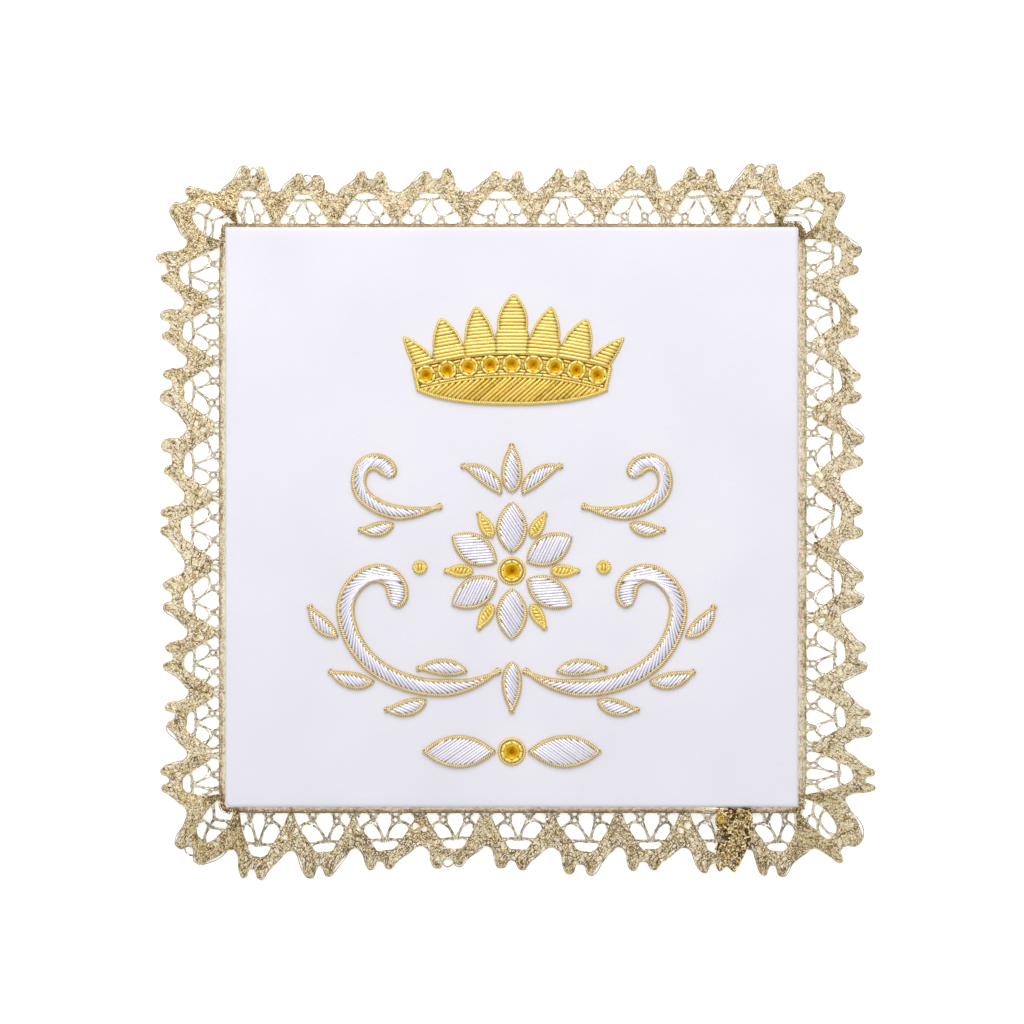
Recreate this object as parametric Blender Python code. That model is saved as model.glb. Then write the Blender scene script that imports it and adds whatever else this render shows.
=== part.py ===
"""A chalice pall: a stiff square board wrapped in white satin, lying flat.

Gold and silver purl embroidery is raised on its top, and a pale gold lace edging is sewn round its sides.
+X runs to the right, +Y to the upper edge and +Z up. The origin is on the surface, under the middle.
"""
import math
from collections import namedtuple

import bpy
from mathutils import Vector

MM = 0.001
GAP = 0.3 * MM

# The satin panel
PANEL_WIDTH = 160 * MM
PANEL_HEIGHT = 162 * MM
PANEL_THICKNESS = 4 * MM
PANEL_CORNER = 1.5 * MM
PANEL_ROUNDING = 1.2 * MM
PANEL_MIDDLE_Y = 0.0

# The lace strip. Sizes across it are counted out from its inner edge, which is sewn along the panel's side
LACE_THICKNESS = 1 * MM
LACE_UNIT = 18.1 * MM
LACE_TIP = 16.8 * MM
LACE_SADDLE = 15.2 * MM
LACE_VALLEY = 11.3 * MM
LACE_TIP_SPREAD = 6.0 * MM
FAN_FOOT = 3.2 * MM
FAN_TOP = 10.8 * MM
FAN_FOOT_WIDTH = 15.2 * MM
FAN_TOP_WIDTH = 7.0 * MM
LACE_FOOT_Z = 1.9 * MM
LACE_TIP_Z = 0.5 * MM
LACE_WAVE = 0.25 * MM
CORNER_LEAN = math.radians(9)
CORNER_FOOT = 5 * MM

# Where the strip's ends lap over one another, measured along the lower side from its middle
LAP_START = 58 * MM
LAP_END = 65.4 * MM
LAP_RISE = 1.35 * MM
LAP_RAMP = 7 * MM

# The embroidery: each pad stands on the satin with low sides and a crowned top
PAD_BOTTOM = PANEL_THICKNESS + GAP
PAD_SIDE = 0.55 * MM
PAD_CROWN = 0.7 * MM
POINT_WIDTH = 0.5 * MM

# The crown: its band is part of a ring, and its rays are drawn along and above that ring
BAND_RADIUS = 98.0 * MM
BAND_TOP_Y = 45.9 * MM
BAND_DEPTH = 6.4 * MM
BAND_HALF_LENGTH = 28.1 * MM
BAND_LOW_SHARE = 1.015
BAND_THICKNESS = 0.6 * MM
CROWN_STONES = 9
CROWN_STONE_PITCH = 6.24 * MM
CROWN_STONE_DROP = 3.3 * MM
STONE_RADIUS = 1.8 * MM
STONE_HEIGHT = 1.2 * MM
BASE_HALF_LENGTH = 28.8 * MM
BASE_BOTTOM_Y = 31.0 * MM

Ray = namedtuple("Ray", "middle width height lean straight")
RAYS = (
    Ray(middle=0.0, width=8.6, height=16.3, lean=0.0, straight=0.5),
    Ray(middle=8.6, width=8.6, height=13.2, lean=0.7, straight=0.3),
    Ray(middle=17.25, width=8.7, height=11.4, lean=1.05, straight=0.25),
    Ray(middle=24.85, width=6.5, height=8.8, lean=3.8, straight=0.1),
)
# How far a ray closes at its point, as a share of its width
RAY_CLOSING = 0.86

# The flower in the middle
FLOWER_Y = -15 * MM
FLOWER_PETALS = 6
PETAL_ROOT = 4.7 * MM
PETAL_LENGTH = 14.8 * MM
PETAL_WIDTH = 8.8 * MM
DROP_ROOT = 10.6 * MM
DROP_LENGTH = 8.4 * MM
DROP_WIDTH = 3.9 * MM
FLOWER_STONE_RADIUS = 2.3 * MM

# Scrolls are bands that start thin, turn as they run and end in a round bulb. Lengths are in mm, turns in degrees
Scroll = namedtuple("Scroll", "name x y heading width taper runs")
SCROLLS = (
    Scroll("scroll_low", 3.3, -42.5, -36, 5.2, 16, ((14, 30), (20, 36), (20, 52), (14, 76), (9, 88), (6.0, 80))),
    Scroll("scroll_high", 19.5, 3.2, -22, 4.4, 12, ((10, 20), (12, 42), (9, 78), (7, 96), (4.5, 70))),
)

# Leaves that grow from a scroll: how far along it, to which side, and how they lean away from it
SprayLeaf = namedtuple("SprayLeaf", "name scroll along side lean length turn width")
SPRAY_LEAVES = (
    SprayLeaf("leaf_inner", 0, 9.0, 1, 34, 14.5, -28, 5.0),
    SprayLeaf("leaf_low", 0, 21.0, -1, 38, 12.5, 38, 5.0),
    SprayLeaf("leaf_outer", 0, 35.0, -1, 40, 13.5, 42, 5.0),
    SprayLeaf("leaf_side", 0, 49.0, -1, 42, 12.5, 42, 4.8),
    SprayLeaf("leaf_high", 1, 13.0, -1, 38, 10.5, 40, 4.4),
)

# Leaves that stand alone, by the place of their root
Leaf = namedtuple("Leaf", "name x y heading length turn width")
FINIAL = Leaf("finial_middle", 0.0, 6.6, 90, 14.0, 0, 6.0)
FINIAL_SIDE = Leaf("finial_side", 3.0, 6.2, 64, 14.5, -56, 4.8)
PENDANT = Leaf("pendant", 0.0, -40.2, -90, 14.5, 0, 5.8)
BAR_LEAF = Leaf("bar_leaf", 4.4, -65.3, 0, 20.6, 0, 9.4)

DOT_X = 25.6 * MM
DOT_Y = -14.0 * MM
DOT_RADIUS = 2.1 * MM
BAR_Y = -65.3 * MM
BAR_STONE_RADIUS = 2.2 * MM

# How full a leaf is towards its root and towards its point
LEAF_FULLNESS = (0.75, 0.95)
PETAL_FULLNESS = (0.8, 0.85)
DROP_FULLNESS = (0.6, 0.9)
ALMOND_FULLNESS = (0.9, 0.9)
LEAF_STEPS = 8
SCROLL_STEP = 3.4 * MM

# The lace's pairs of tips along each side: (place along that side from its middle, reach out from the panel), in mm.
# The strip runs anticlockwise from the lap: round the lower right corner, up the right side, along the top and on.
FIRST_UNIT = (72.8, 18.3)
RIGHT_UNITS = (
    (-73.9, 21.6), (-57.6, 19.4), (-39.6, 18.9), (-19.8, 17.4), (-1.3, 17.8),
    (19.0, 17.6), (36.6, 17.5), (55.6, 16.7), (71.7, 17.5),
)
TOP_UNITS = (
    (69.2, 17.2), (53.3, 16.4), (36.1, 16.8), (16.1, 16.0), (-1.4, 15.6),
    (-21.4, 15.4), (-39.6, 15.0), (-57.0, 14.3), (-72.2, 16.6),
)
LEFT_UNITS = (
    (69.5, 18.6), (53.6, 17.2), (37.1, 16.9), (16.0, 16.9), (-1.3, 17.8),
    (-22.0, 16.7), (-39.1, 16.4), (-55.8, 15.9), (-73.4, 17.8),
)
BOTTOM_UNITS = (
    (-72.7, 20.1), (-54.0, 18.5), (-37.2, 17.5), (-17.4, 16.5), (0.0, 17.0),
    (19.4, 18.0), (37.1, 17.4), (54.2, 17.9),
)
# Reaches at the corners, from the lower right one onwards
CORNER_REACHES = (19.8, 15.8, 15.3, 17.3)


def make_material(name, colour, roughness, metallic):
    material = bpy.data.materials.new(name)
    material.use_nodes = True
    shader = material.node_tree.nodes["Principled BSDF"]
    shader.inputs["Base Color"].default_value = (*colour, 1)
    shader.inputs["Roughness"].default_value = roughness
    shader.inputs["Metallic"].default_value = metallic
    material.diffuse_color = (*colour, 1)
    return material


def make_object(name, points, faces, look):
    mesh = bpy.data.meshes.new(name)
    mesh.from_pydata([tuple(point) for point in points], [], faces)
    mesh.update()
    made = bpy.data.objects.new(name, mesh)
    mesh.materials.append(make_material(name, *look))
    bpy.context.scene.collection.objects.link(made)
    return made


def loft(name, sections, look):
    """A closed solid through sections of as many points each, which run anticlockwise seen along the loft's way."""
    size = len(sections[0])
    points = [point for section in sections for point in section]
    faces = []
    for row in range(len(sections) - 1):
        start = row * size
        for i in range(size):
            j = (i + 1) % size
            faces.append((start + j, start + i, start + size + i, start + size + j))
    faces.append(tuple(range(size)))
    last = (len(sections) - 1) * size
    faces.append(tuple(reversed(range(last, last + size))))
    return make_object(name, points, faces, look)


def pad_section(left, right, crown=PAD_CROWN):
    """Five points from one edge of a pad over its crown to the other, seen along the pad's way."""
    middle = (Vector(left) + Vector(right)) / 2
    low = PAD_BOTTOM
    side = PAD_BOTTOM + PAD_SIDE
    return [
        (right[0], right[1], low),
        (right[0], right[1], side),
        (middle.x, middle.y, side + crown),
        (left[0], left[1], side),
        (left[0], left[1], low),
    ]


def spine(x, y, heading, runs, step):
    """Points (x, y, heading) along runs that each have a length and turn evenly through an angle."""
    found = [(x, y, heading)]
    for length, turn in runs:
        parts = max(1, math.ceil(length / step))
        part = length / parts
        for _ in range(parts):
            heading += turn / parts / 2
            x += math.cos(heading) * part
            y += math.sin(heading) * part
            heading += turn / parts / 2
            found.append((x, y, heading))
    return found


def band_sections(line, widths):
    sections = []
    for (x, y, heading), width in zip(line, widths):
        across = (-math.sin(heading) * width / 2, math.cos(heading) * width / 2)
        left = (x + across[0], y + across[1])
        right = (x - across[0], y - across[1])
        sections.append(pad_section(left, right, PAD_CROWN * min(1, width / (3 * MM))))
    return sections


def leaf_width(share, fullness):
    """1 at the widest place, 0 at both ends."""
    root, point = fullness
    peak = root / (root + point)
    return share**root * (1 - share) ** point / (peak**root * (1 - peak) ** point)


def leaf(name, x, y, heading, length, turn, width, fullness, look):
    line = spine(x, y, heading, ((length, turn),), length / LEAF_STEPS)
    last = len(line) - 1
    widths = [max(POINT_WIDTH, width * leaf_width(i / last, fullness)) for i in range(last + 1)]
    return loft(name, band_sections(line, widths), look)


def scroll_line(scroll):
    runs = [(length * MM, math.radians(turn)) for length, turn in scroll.runs]
    return spine(scroll.x * MM, scroll.y * MM, math.radians(scroll.heading), runs, SCROLL_STEP)


def scroll_widths(scroll, line):
    """Thin at the start, full after the taper, a little fuller still before the round end."""
    along = [0.0]
    for (x0, y0, _), (x1, y1, _) in zip(line, line[1:]):
        along.append(along[-1] + math.hypot(x1 - x0, y1 - y0))
    total = along[-1]
    full = scroll.width * MM
    bulb = 0.3
    widths = []
    for place in along:
        left = total - place
        width = full * min(1, place / (scroll.taper * MM)) ** 0.7
        width *= 1 + bulb * max(0, 1 - left / (3 * full))
        radius = full * (1 + bulb) / 2
        if left < radius:
            width *= math.sqrt(max(0, 1 - (1 - left / radius) ** 2))
        widths.append(max(POINT_WIDTH, width))
    return widths


def round_end(line, scroll):
    """The last step cut in two, so that the bulb's end stays round."""
    (x0, y0, a0), (x1, y1, a1) = line[-2:]
    share = 0.62
    middle = (x0 + (x1 - x0) * share, y0 + (y1 - y0) * share, a0 + (a1 - a0) * share)
    return line[:-1] + [middle, line[-1]]


def point_along(line, distance):
    for (x0, y0, a0), (x1, y1, a1) in zip(line, line[1:]):
        step = math.hypot(x1 - x0, y1 - y0)
        if distance <= step:
            share = distance / step
            return x0 + (x1 - x0) * share, y0 + (y1 - y0) * share, a0 + (a1 - a0) * share
        distance -= step
    return line[-1]


def mirrored_sections(sections):
    return [[(-x, y, z) for x, y, z in reversed(section)] for section in sections]


def pair(name, sections, look):
    loft(name + "_right", sections, look)
    loft(name + "_left", mirrored_sections(sections), look)


def leaf_sections(x, y, heading, length, turn, width, fullness):
    line = spine(x, y, heading, ((length, turn),), length / LEAF_STEPS)
    last = len(line) - 1
    widths = [max(POINT_WIDTH, width * leaf_width(i / last, fullness)) for i in range(last + 1)]
    return band_sections(line, widths)


def row_sections(row, fullness):
    return leaf_sections(
        row.x * MM, row.y * MM, math.radians(row.heading), row.length * MM, math.radians(row.turn), row.width * MM,
        fullness,
    )


def on_ring(along, up):
    """A place given by its distance along the band's upper edge and its height above that edge."""
    angle = along / BAND_RADIUS
    radius = BAND_RADIUS + up
    return radius * math.sin(angle), BAND_TOP_Y - BAND_RADIUS + radius * math.cos(angle)


def ray_sections(ray, side):
    """Sections across a ray from its foot on the band to its point."""
    sections = []
    steps = 8
    half = ray.width * MM / 2 - GAP / 2
    for i in range(steps + 1):
        share = i / steps
        closing = RAY_CLOSING * max(0, (share - ray.straight) / (1 - ray.straight)) ** 1.8
        half_here = max(POINT_WIDTH / 2, half * (1 - closing))
        middle = (ray.middle + ray.lean * share**1.3) * MM * side
        up = GAP + ray.height * MM * share
        left = on_ring(middle - half_here, up)
        right = on_ring(middle + half_here, up)
        sections.append(pad_section(left, right, PAD_CROWN * min(1, half_here / (1.5 * MM))))
    return sections


def crown_band_sections():
    sections = []
    steps = 16
    for i in range(steps + 1):
        along = (2 * i / steps - 1) * BAND_HALF_LENGTH
        top = on_ring(along, 0)
        low = on_ring(along * BAND_LOW_SHARE, -BAND_DEPTH)
        sections.append([
            (*low, PAD_BOTTOM),
            (*low, PAD_BOTTOM + BAND_THICKNESS),
            (*top, PAD_BOTTOM + BAND_THICKNESS),
            (*top, PAD_BOTTOM),
        ])
    return sections


def crown_base_sections():
    """A boat-shaped pad between the band's lower edge and a flatter curve below it."""
    sections = []
    steps = 14
    ends_y = on_ring(BASE_HALF_LENGTH, -BAND_DEPTH - GAP)[1]
    for i in range(steps + 1):
        share = 2 * i / steps - 1
        along = share * BASE_HALF_LENGTH
        top = on_ring(along, -BAND_DEPTH - GAP)
        fall = max(0, 1 - abs(share) ** 2.4) ** 0.75
        low_y = ends_y - (ends_y - BASE_BOTTOM_Y) * fall
        low = (top[0], min(low_y, top[1] - POINT_WIDTH))
        sections.append(pad_section(top, low, PAD_CROWN * fall))
    return sections


def stone(name, x, y, bottom, radius):
    """A round stone with sloping sides, a row of facets above them and a flat table."""
    sides = 10
    rings = ((radius * 0.86, 0), (radius, STONE_HEIGHT * 0.45), (radius * 0.6, STONE_HEIGHT))
    points = []
    for ring_radius, height in rings:
        for i in range(sides):
            angle = 2 * math.pi * i / sides
            points.append((x + ring_radius * math.cos(angle), y + ring_radius * math.sin(angle), bottom + height))
    faces = [tuple(reversed(range(sides))), tuple(range(2 * sides, 3 * sides))]
    for row in (0, sides):
        for i in range(sides):
            j = (i + 1) % sides
            faces.append((row + i, row + j, row + sides + j, row + sides + i))
    return make_object(name, points, faces, AMBER)


def dot(name, x, y, radius):
    sides = 12
    rings = ((radius, 0), (radius, PAD_SIDE), (radius * 0.5, PAD_SIDE + PAD_CROWN * 0.8))
    points = []
    for ring_radius, height in rings:
        for i in range(sides):
            angle = 2 * math.pi * i / sides
            points.append((x + ring_radius * math.cos(angle), y + ring_radius * math.sin(angle), PAD_BOTTOM + height))
    faces = [tuple(reversed(range(sides))), tuple(range(2 * sides, 3 * sides))]
    for row in (0, sides):
        for i in range(sides):
            j = (i + 1) % sides
            faces.append((row + i, row + j, row + sides + j, row + sides + i))
    return make_object(name, points, faces, GOLD_PURL)


def rounded_square(half_width, half_height, radius, z, steps=4):
    ring = []
    for corner, (sx, sy) in enumerate(((1, 1), (-1, 1), (-1, -1), (1, -1))):
        for i in range(steps + 1):
            angle = math.pi / 2 * (corner + i / steps)
            x = sx * (half_width - radius) + radius * math.cos(angle)
            y = sy * (half_height - radius) + radius * math.sin(angle)
            ring.append((x, y, z))
    return ring


def make_panel():
    """The wrapped board, with the satin's soft bend along its upper and lower edges."""
    rings = []
    bends = 3
    for half in (0, 1):
        for i in range(bends + 1):
            angle = math.pi / 2 * (i / bends - (1 - half))
            inset = PANEL_ROUNDING * (1 - math.cos(angle))
            middle_z = PANEL_ROUNDING if half == 0 else PANEL_THICKNESS - PANEL_ROUNDING
            z = middle_z + PANEL_ROUNDING * math.sin(angle)
            corner = PANEL_CORNER + inset * 0.5
            ring = rounded_square(PANEL_WIDTH / 2 - inset, PANEL_HEIGHT / 2 - inset, corner, z)
            rings.append(ring[::-1])
    return loft("pall_panel", rings, SATIN)


# The lace's path round the panel, as a distance that grows anticlockwise from the foot of the right side.
PATH_CORNER = PANEL_CORNER + GAP
HALF_W = PANEL_WIDTH / 2 + GAP
HALF_H = PANEL_HEIGHT / 2 + GAP
STRAIGHT_X = 2 * (HALF_W - PATH_CORNER)
STRAIGHT_Y = 2 * (HALF_H - PATH_CORNER)
ARC = math.pi / 2 * PATH_CORNER
PATH_LENGTH = 2 * (STRAIGHT_X + STRAIGHT_Y + 2 * ARC)


def path_point(distance):
    """The place on the panel's side and the way straight out from it."""
    pieces = (
        (STRAIGHT_Y, (HALF_W, -STRAIGHT_Y / 2), 0.0, False),
        (ARC, (HALF_W - PATH_CORNER, STRAIGHT_Y / 2), 0.0, True),
        (STRAIGHT_X, (STRAIGHT_X / 2, HALF_H), math.pi / 2, False),
        (ARC, (-STRAIGHT_X / 2, HALF_H - PATH_CORNER), math.pi / 2, True),
        (STRAIGHT_Y, (-HALF_W, STRAIGHT_Y / 2), math.pi, False),
        (ARC, (-HALF_W + PATH_CORNER, -STRAIGHT_Y / 2), math.pi, True),
        (STRAIGHT_X, (-STRAIGHT_X / 2, -HALF_H), 3 * math.pi / 2, False),
        (ARC, (STRAIGHT_X / 2, -HALF_H + PATH_CORNER), 3 * math.pi / 2, True),
    )
    distance %= PATH_LENGTH
    for length, (x, y), out, bent in pieces:
        if distance > length:
            distance -= length
            continue
        if bent:
            angle = out + distance / PATH_CORNER
            return (x + PATH_CORNER * math.cos(angle), y + PATH_CORNER * math.sin(angle)), angle
        return (x - math.sin(out) * distance, y + math.cos(out) * distance), out
    return (HALF_W, -STRAIGHT_Y / 2), 0.0


def unit_rows():
    """(path distance, reach, whether it is at a corner) of every pair of tips, from the lap round to the lap."""
    top_start = STRAIGHT_Y + ARC
    left_start = top_start + STRAIGHT_X + ARC
    bottom_start = left_start + STRAIGHT_Y + ARC
    bottom_middle = bottom_start + STRAIGHT_X / 2
    rows = [(bottom_middle + FIRST_UNIT[0] * MM - PATH_LENGTH, FIRST_UNIT[1], False)]
    sides = (
        (-ARC / 2, RIGHT_UNITS, STRAIGHT_Y / 2, 1),
        (STRAIGHT_Y + ARC / 2, TOP_UNITS, top_start + STRAIGHT_X / 2, -1),
        (left_start - ARC / 2, LEFT_UNITS, left_start + STRAIGHT_Y / 2, -1),
        (bottom_start - ARC / 2, BOTTOM_UNITS, bottom_middle, 1),
    )
    for (corner, units, middle, sign), corner_reach in zip(sides, CORNER_REACHES):
        rows.append((corner, corner_reach, True))
        rows += [(middle + sign * along * MM, reach, False) for along, reach in units]
    return rows


def unit_ends(rows, half_corner):
    """Path distances of the valleys: halfway between pairs of tips, but close in at a corner, where it gathers."""
    ends = []
    for (before, _, before_bent), (after, _, after_bent) in zip(rows, rows[1:]):
        if after_bent:
            ends.append(after - half_corner)
        elif before_bent:
            ends.append(before + half_corner)
        else:
            ends.append((before + after) / 2)
    return ends


def unit_columns():
    """Across one unit: (share of its width, fan opening's low edge, its top edge, outer edge).

    The low and top edges are the same where there is no opening.
    """
    foot = (1 - FAN_FOOT_WIDTH / LACE_UNIT) / 2
    top = (1 - FAN_TOP_WIDTH / LACE_UNIT) / 2
    tip = (1 - LACE_TIP_SPREAD / LACE_UNIT) / 2
    between = (foot + top) / 2
    slope = LACE_TIP - LACE_VALLEY
    half = [
        (0.0, FAN_FOOT, FAN_FOOT, LACE_VALLEY),
        (foot, FAN_FOOT, FAN_FOOT, LACE_VALLEY + slope * foot / tip),
        (between, FAN_FOOT, (FAN_FOOT + FAN_TOP) / 2, LACE_VALLEY + slope * between / tip),
        (tip, FAN_FOOT, FAN_TOP, LACE_TIP),
    ]
    middle = [(0.5, FAN_FOOT, FAN_TOP, LACE_SADDLE)]
    return half + middle + [(1 - share, low, high, outer) for share, low, high, outer in reversed(half[1:])]


def lace_columns():
    """Every column of the strip, end to end.

    Each is (path distance at the tips, path distance at the foot, low edge, top edge, outer edge, wave).
    """
    rows = unit_rows()
    ends = unit_ends(rows, ARC / 2 - PATH_CORNER * CORNER_LEAN)
    feet = unit_ends(rows, CORNER_FOOT)
    stretch = [reach * MM / LACE_TIP for _, reach, _ in rows]
    first = 2 * rows[0][0] - ends[0]
    last = 2 * rows[-1][0] - ends[-1]
    ends = [first] + ends + [last]
    feet = [first] + feet + [last]
    bottom_middle = PATH_LENGTH - ARC - STRAIGHT_X / 2
    lap_start = bottom_middle + LAP_START - PATH_LENGTH
    lap_end = bottom_middle + LAP_END
    columns = [
        (lap_start, lap_start, FAN_FOOT, FAN_FOOT, LACE_SADDLE, 0.0),
        ((lap_start + first) / 2, (lap_start + first) / 2, FAN_FOOT, FAN_FOOT, LACE_TIP, 0.0),
    ]
    for index, here in enumerate(stretch):
        before = stretch[index - 1] if index else here
        after = stretch[index + 1] if index + 1 < len(stretch) else here
        start, end = ends[index], ends[index + 1]
        foot_start, foot_end = feet[index], feet[index + 1]
        wave = LACE_WAVE if 1 < index < len(stretch) - 2 else 0.0
        for share, low, high, outer in unit_columns():
            neighbour = before if share < 0.5 else after
            mix = abs(share - 0.5)
            size = here * (1 - mix) + neighbour * mix
            lift = wave * (1 + math.sin(2.3 * index + 2 * math.pi * share))
            distance = start + (end - start) * share
            foot = foot_start + (foot_end - foot_start) * share
            columns.append((distance, foot, low * size, high * size, outer * size, lift))
    columns.append((last, last, FAN_FOOT, FAN_FOOT, LACE_VALLEY, 0.0))
    columns.append((lap_end, lap_end, FAN_FOOT, FAN_FOOT, LACE_VALLEY, 0.0))
    return columns


def lace_place(distance, foot, out, lift):
    """A place on the straight line from the strip's foot to its tips, which lean apart at the corners."""
    (tip_x, tip_y), angle = path_point(distance)
    (x, y), _ = path_point(foot)
    tip_x += math.cos(angle) * LACE_TIP
    tip_y += math.sin(angle) * LACE_TIP
    x += (tip_x - x) * out / LACE_TIP
    y += (tip_y - y) * out / LACE_TIP
    share = min(1.0, out / LACE_TIP)
    z = LACE_FOOT_Z + (LACE_TIP_Z - LACE_FOOT_Z) * share**0.8 + lift * share
    lap_start = PATH_LENGTH - ARC - STRAIGHT_X / 2 + LAP_START
    z += LAP_RISE * min(1, max(0, (distance - lap_start + LAP_RAMP) / (LAP_RAMP - 1.1 * MM)))
    return Vector((x, y, z))


def make_lace():
    """One strip of edging: a column of points at each place along it, joined by its faces."""
    points = []
    rows = []
    half = Vector((0, 0, LACE_THICKNESS / 2))
    for distance, foot, low, high, outer, lift in lace_columns():
        row = {}
        for line, out in (("inner", 0.0), ("low", low), ("high", high), ("outer", outer)):
            if line == "high" and high == low:
                row["high"] = row["low"]
                continue
            row[line] = len(points)
            place = lace_place(distance, foot, out, lift)
            points += [place + half, place - half]
        rows.append(row)

    faces = []

    def sheet(a, b, inner, outer):
        """The upper and lower faces between two columns, from one line to the next one out."""
        corners = (a[inner], a[outer], b[outer], b[inner])
        ring = [corner for i, corner in enumerate(corners) if corner not in corners[:i]]
        faces.append(tuple(ring))
        faces.append(tuple(corner + 1 for corner in reversed(ring)))

    def wall(a, b):
        """The upright face between two places, with the lace on its left on the way from a to b."""
        faces.append((a, a + 1, b + 1, b))

    for a, b in zip(rows, rows[1:]):
        sheet(a, b, "inner", "low")
        sheet(a, b, "high", "outer")
        wall(b["inner"], a["inner"])
        wall(a["outer"], b["outer"])
        if a["high"] != a["low"] or b["high"] != b["low"]:
            wall(a["low"], b["low"])
            wall(b["high"], a["high"])
    first, last = rows[0], rows[-1]
    wall(first["inner"], first["low"])
    wall(first["low"], first["outer"])
    wall(last["outer"], last["low"])
    wall(last["low"], last["inner"])
    return make_object("lace_edging", points, faces, LACE_GOLD)


def make_crown():
    for number, ray in enumerate(RAYS):
        for side, label in ((1, "right"), (-1, "left")):
            if number == 0:
                if side == 1:
                    loft("crown_ray_middle", ray_sections(ray, 1), GOLD_PURL)
                continue
            loft(f"crown_ray_{label}_{number}", ray_sections(ray, side), GOLD_PURL)
    loft("crown_band", crown_band_sections(), GOLD_PURL)
    loft("crown_base", crown_base_sections(), GOLD_PURL)
    for i in range(CROWN_STONES):
        along = (i - (CROWN_STONES - 1) / 2) * CROWN_STONE_PITCH
        x, y = on_ring(along, -CROWN_STONE_DROP)
        stone(f"crown_stone_{i + 1}", x, y, PAD_BOTTOM + BAND_THICKNESS + GAP, STONE_RADIUS)


def make_flower():
    step = 2 * math.pi / FLOWER_PETALS
    for i in range(FLOWER_PETALS):
        angle = math.pi / 2 + i * step
        x = PETAL_ROOT * math.cos(angle)
        y = FLOWER_Y + PETAL_ROOT * math.sin(angle)
        sections = leaf_sections(x, y, angle, PETAL_LENGTH, 0, PETAL_WIDTH, PETAL_FULLNESS)
        loft(f"petal_{i + 1}", sections, SILVER_PURL)
        angle += step / 2
        x = DROP_ROOT * math.cos(angle)
        y = FLOWER_Y + DROP_ROOT * math.sin(angle)
        sections = leaf_sections(x, y, angle, DROP_LENGTH, 0, DROP_WIDTH, DROP_FULLNESS)
        loft(f"petal_drop_{i + 1}", sections, GOLD_PURL)
    stone("flower_stone", 0, FLOWER_Y, PAD_BOTTOM, FLOWER_STONE_RADIUS)


def make_sprays():
    lines = []
    for scroll in SCROLLS:
        line = round_end(scroll_line(scroll), scroll)
        lines.append(line)
        pair(scroll.name, band_sections(line, scroll_widths(scroll, line)), SILVER_PURL)
    for row in SPRAY_LEAVES:
        scroll = SCROLLS[row.scroll]
        x, y, heading = point_along(lines[row.scroll], row.along * MM)
        off = (scroll.width / 2 + 0.9) * MM * row.side
        x -= math.sin(heading) * off
        y += math.cos(heading) * off
        heading += math.radians(row.lean) * row.side
        sections = leaf_sections(
            x, y, heading, row.length * MM, math.radians(row.turn), row.width * MM, LEAF_FULLNESS
        )
        pair(row.name, sections, SILVER_PURL)
    loft(FINIAL.name, row_sections(FINIAL, DROP_FULLNESS), SILVER_PURL)
    pair(FINIAL_SIDE.name, row_sections(FINIAL_SIDE, LEAF_FULLNESS), SILVER_PURL)
    loft(PENDANT.name, row_sections(PENDANT, DROP_FULLNESS), SILVER_PURL)
    dot("dot_right", DOT_X, DOT_Y, DOT_RADIUS)
    dot("dot_left", -DOT_X, DOT_Y, DOT_RADIUS)


def make_bar():
    pair(BAR_LEAF.name, row_sections(BAR_LEAF, ALMOND_FULLNESS), SILVER_PURL)
    stone("bar_stone", 0, BAR_Y, PAD_BOTTOM, BAR_STONE_RADIUS)


# (colour, roughness, metallic)
SATIN = ((0.89, 0.88, 0.93), 0.45, 0.0)
LACE_GOLD = ((0.62, 0.50, 0.30), 0.4, 0.6)
GOLD_PURL = ((0.85, 0.62, 0.14), 0.3, 0.8)
SILVER_PURL = ((0.86, 0.85, 0.90), 0.3, 0.6)
AMBER = ((0.75, 0.38, 0.02), 0.1, 0.0)

for old in list(bpy.data.objects):
    bpy.data.objects.remove(old)
make_panel()
make_lace()
make_crown()
make_flower()
make_sprays()
make_bar()
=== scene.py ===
import math
from collections import namedtuple

import bpy
import numpy as np
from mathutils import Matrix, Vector


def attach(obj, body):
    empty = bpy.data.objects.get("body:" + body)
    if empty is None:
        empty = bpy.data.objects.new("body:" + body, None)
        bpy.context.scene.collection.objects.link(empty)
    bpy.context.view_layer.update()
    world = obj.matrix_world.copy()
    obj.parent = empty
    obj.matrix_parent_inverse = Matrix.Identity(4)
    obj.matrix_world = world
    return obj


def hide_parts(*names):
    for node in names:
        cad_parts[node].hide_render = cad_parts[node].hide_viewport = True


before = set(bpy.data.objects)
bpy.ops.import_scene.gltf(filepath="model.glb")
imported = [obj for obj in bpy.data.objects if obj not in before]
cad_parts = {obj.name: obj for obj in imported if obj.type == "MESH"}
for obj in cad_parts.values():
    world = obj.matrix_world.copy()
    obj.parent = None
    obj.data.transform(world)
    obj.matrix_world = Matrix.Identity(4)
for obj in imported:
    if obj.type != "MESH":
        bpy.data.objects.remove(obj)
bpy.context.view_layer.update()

rng = np.random.default_rng(7)
MM = 0.001
QUARTER = math.pi / 2

# sizes shared with the CAD model, in mm
GAP = 0.3
PANEL_WIDTH = 160.0
PANEL_HEIGHT = 162.0
PANEL_THICKNESS = 4.0
PANEL_ROUNDING = 1.2
PAD_BOTTOM = 4.3

LACE_UNIT = 18.1
LACE_RISE = 14.8
LACE_FOOT_Z = 1.9
LACE_TIP_Z = 0.5
LACE_REACH = 16.8
LAP_START = 58.0
LAP_END = 65.4
LAP_RISE = 1.35
LAP_RAMP = 7.0

BAND_RADIUS = 98.0
BAND_TOP_Y = 45.9
BAND_DEPTH = 6.4
BAND_HALF_LENGTH = 28.1
BAND_LOW_SHARE = 1.015
CROWN_STONES = 9
CROWN_STONE_PITCH = 6.24
CROWN_STONE_DROP = 3.3
STONE_RADIUS = 1.8
BASE_HALF_LENGTH = 28.8
BASE_BOTTOM_Y = 31.0

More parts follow.
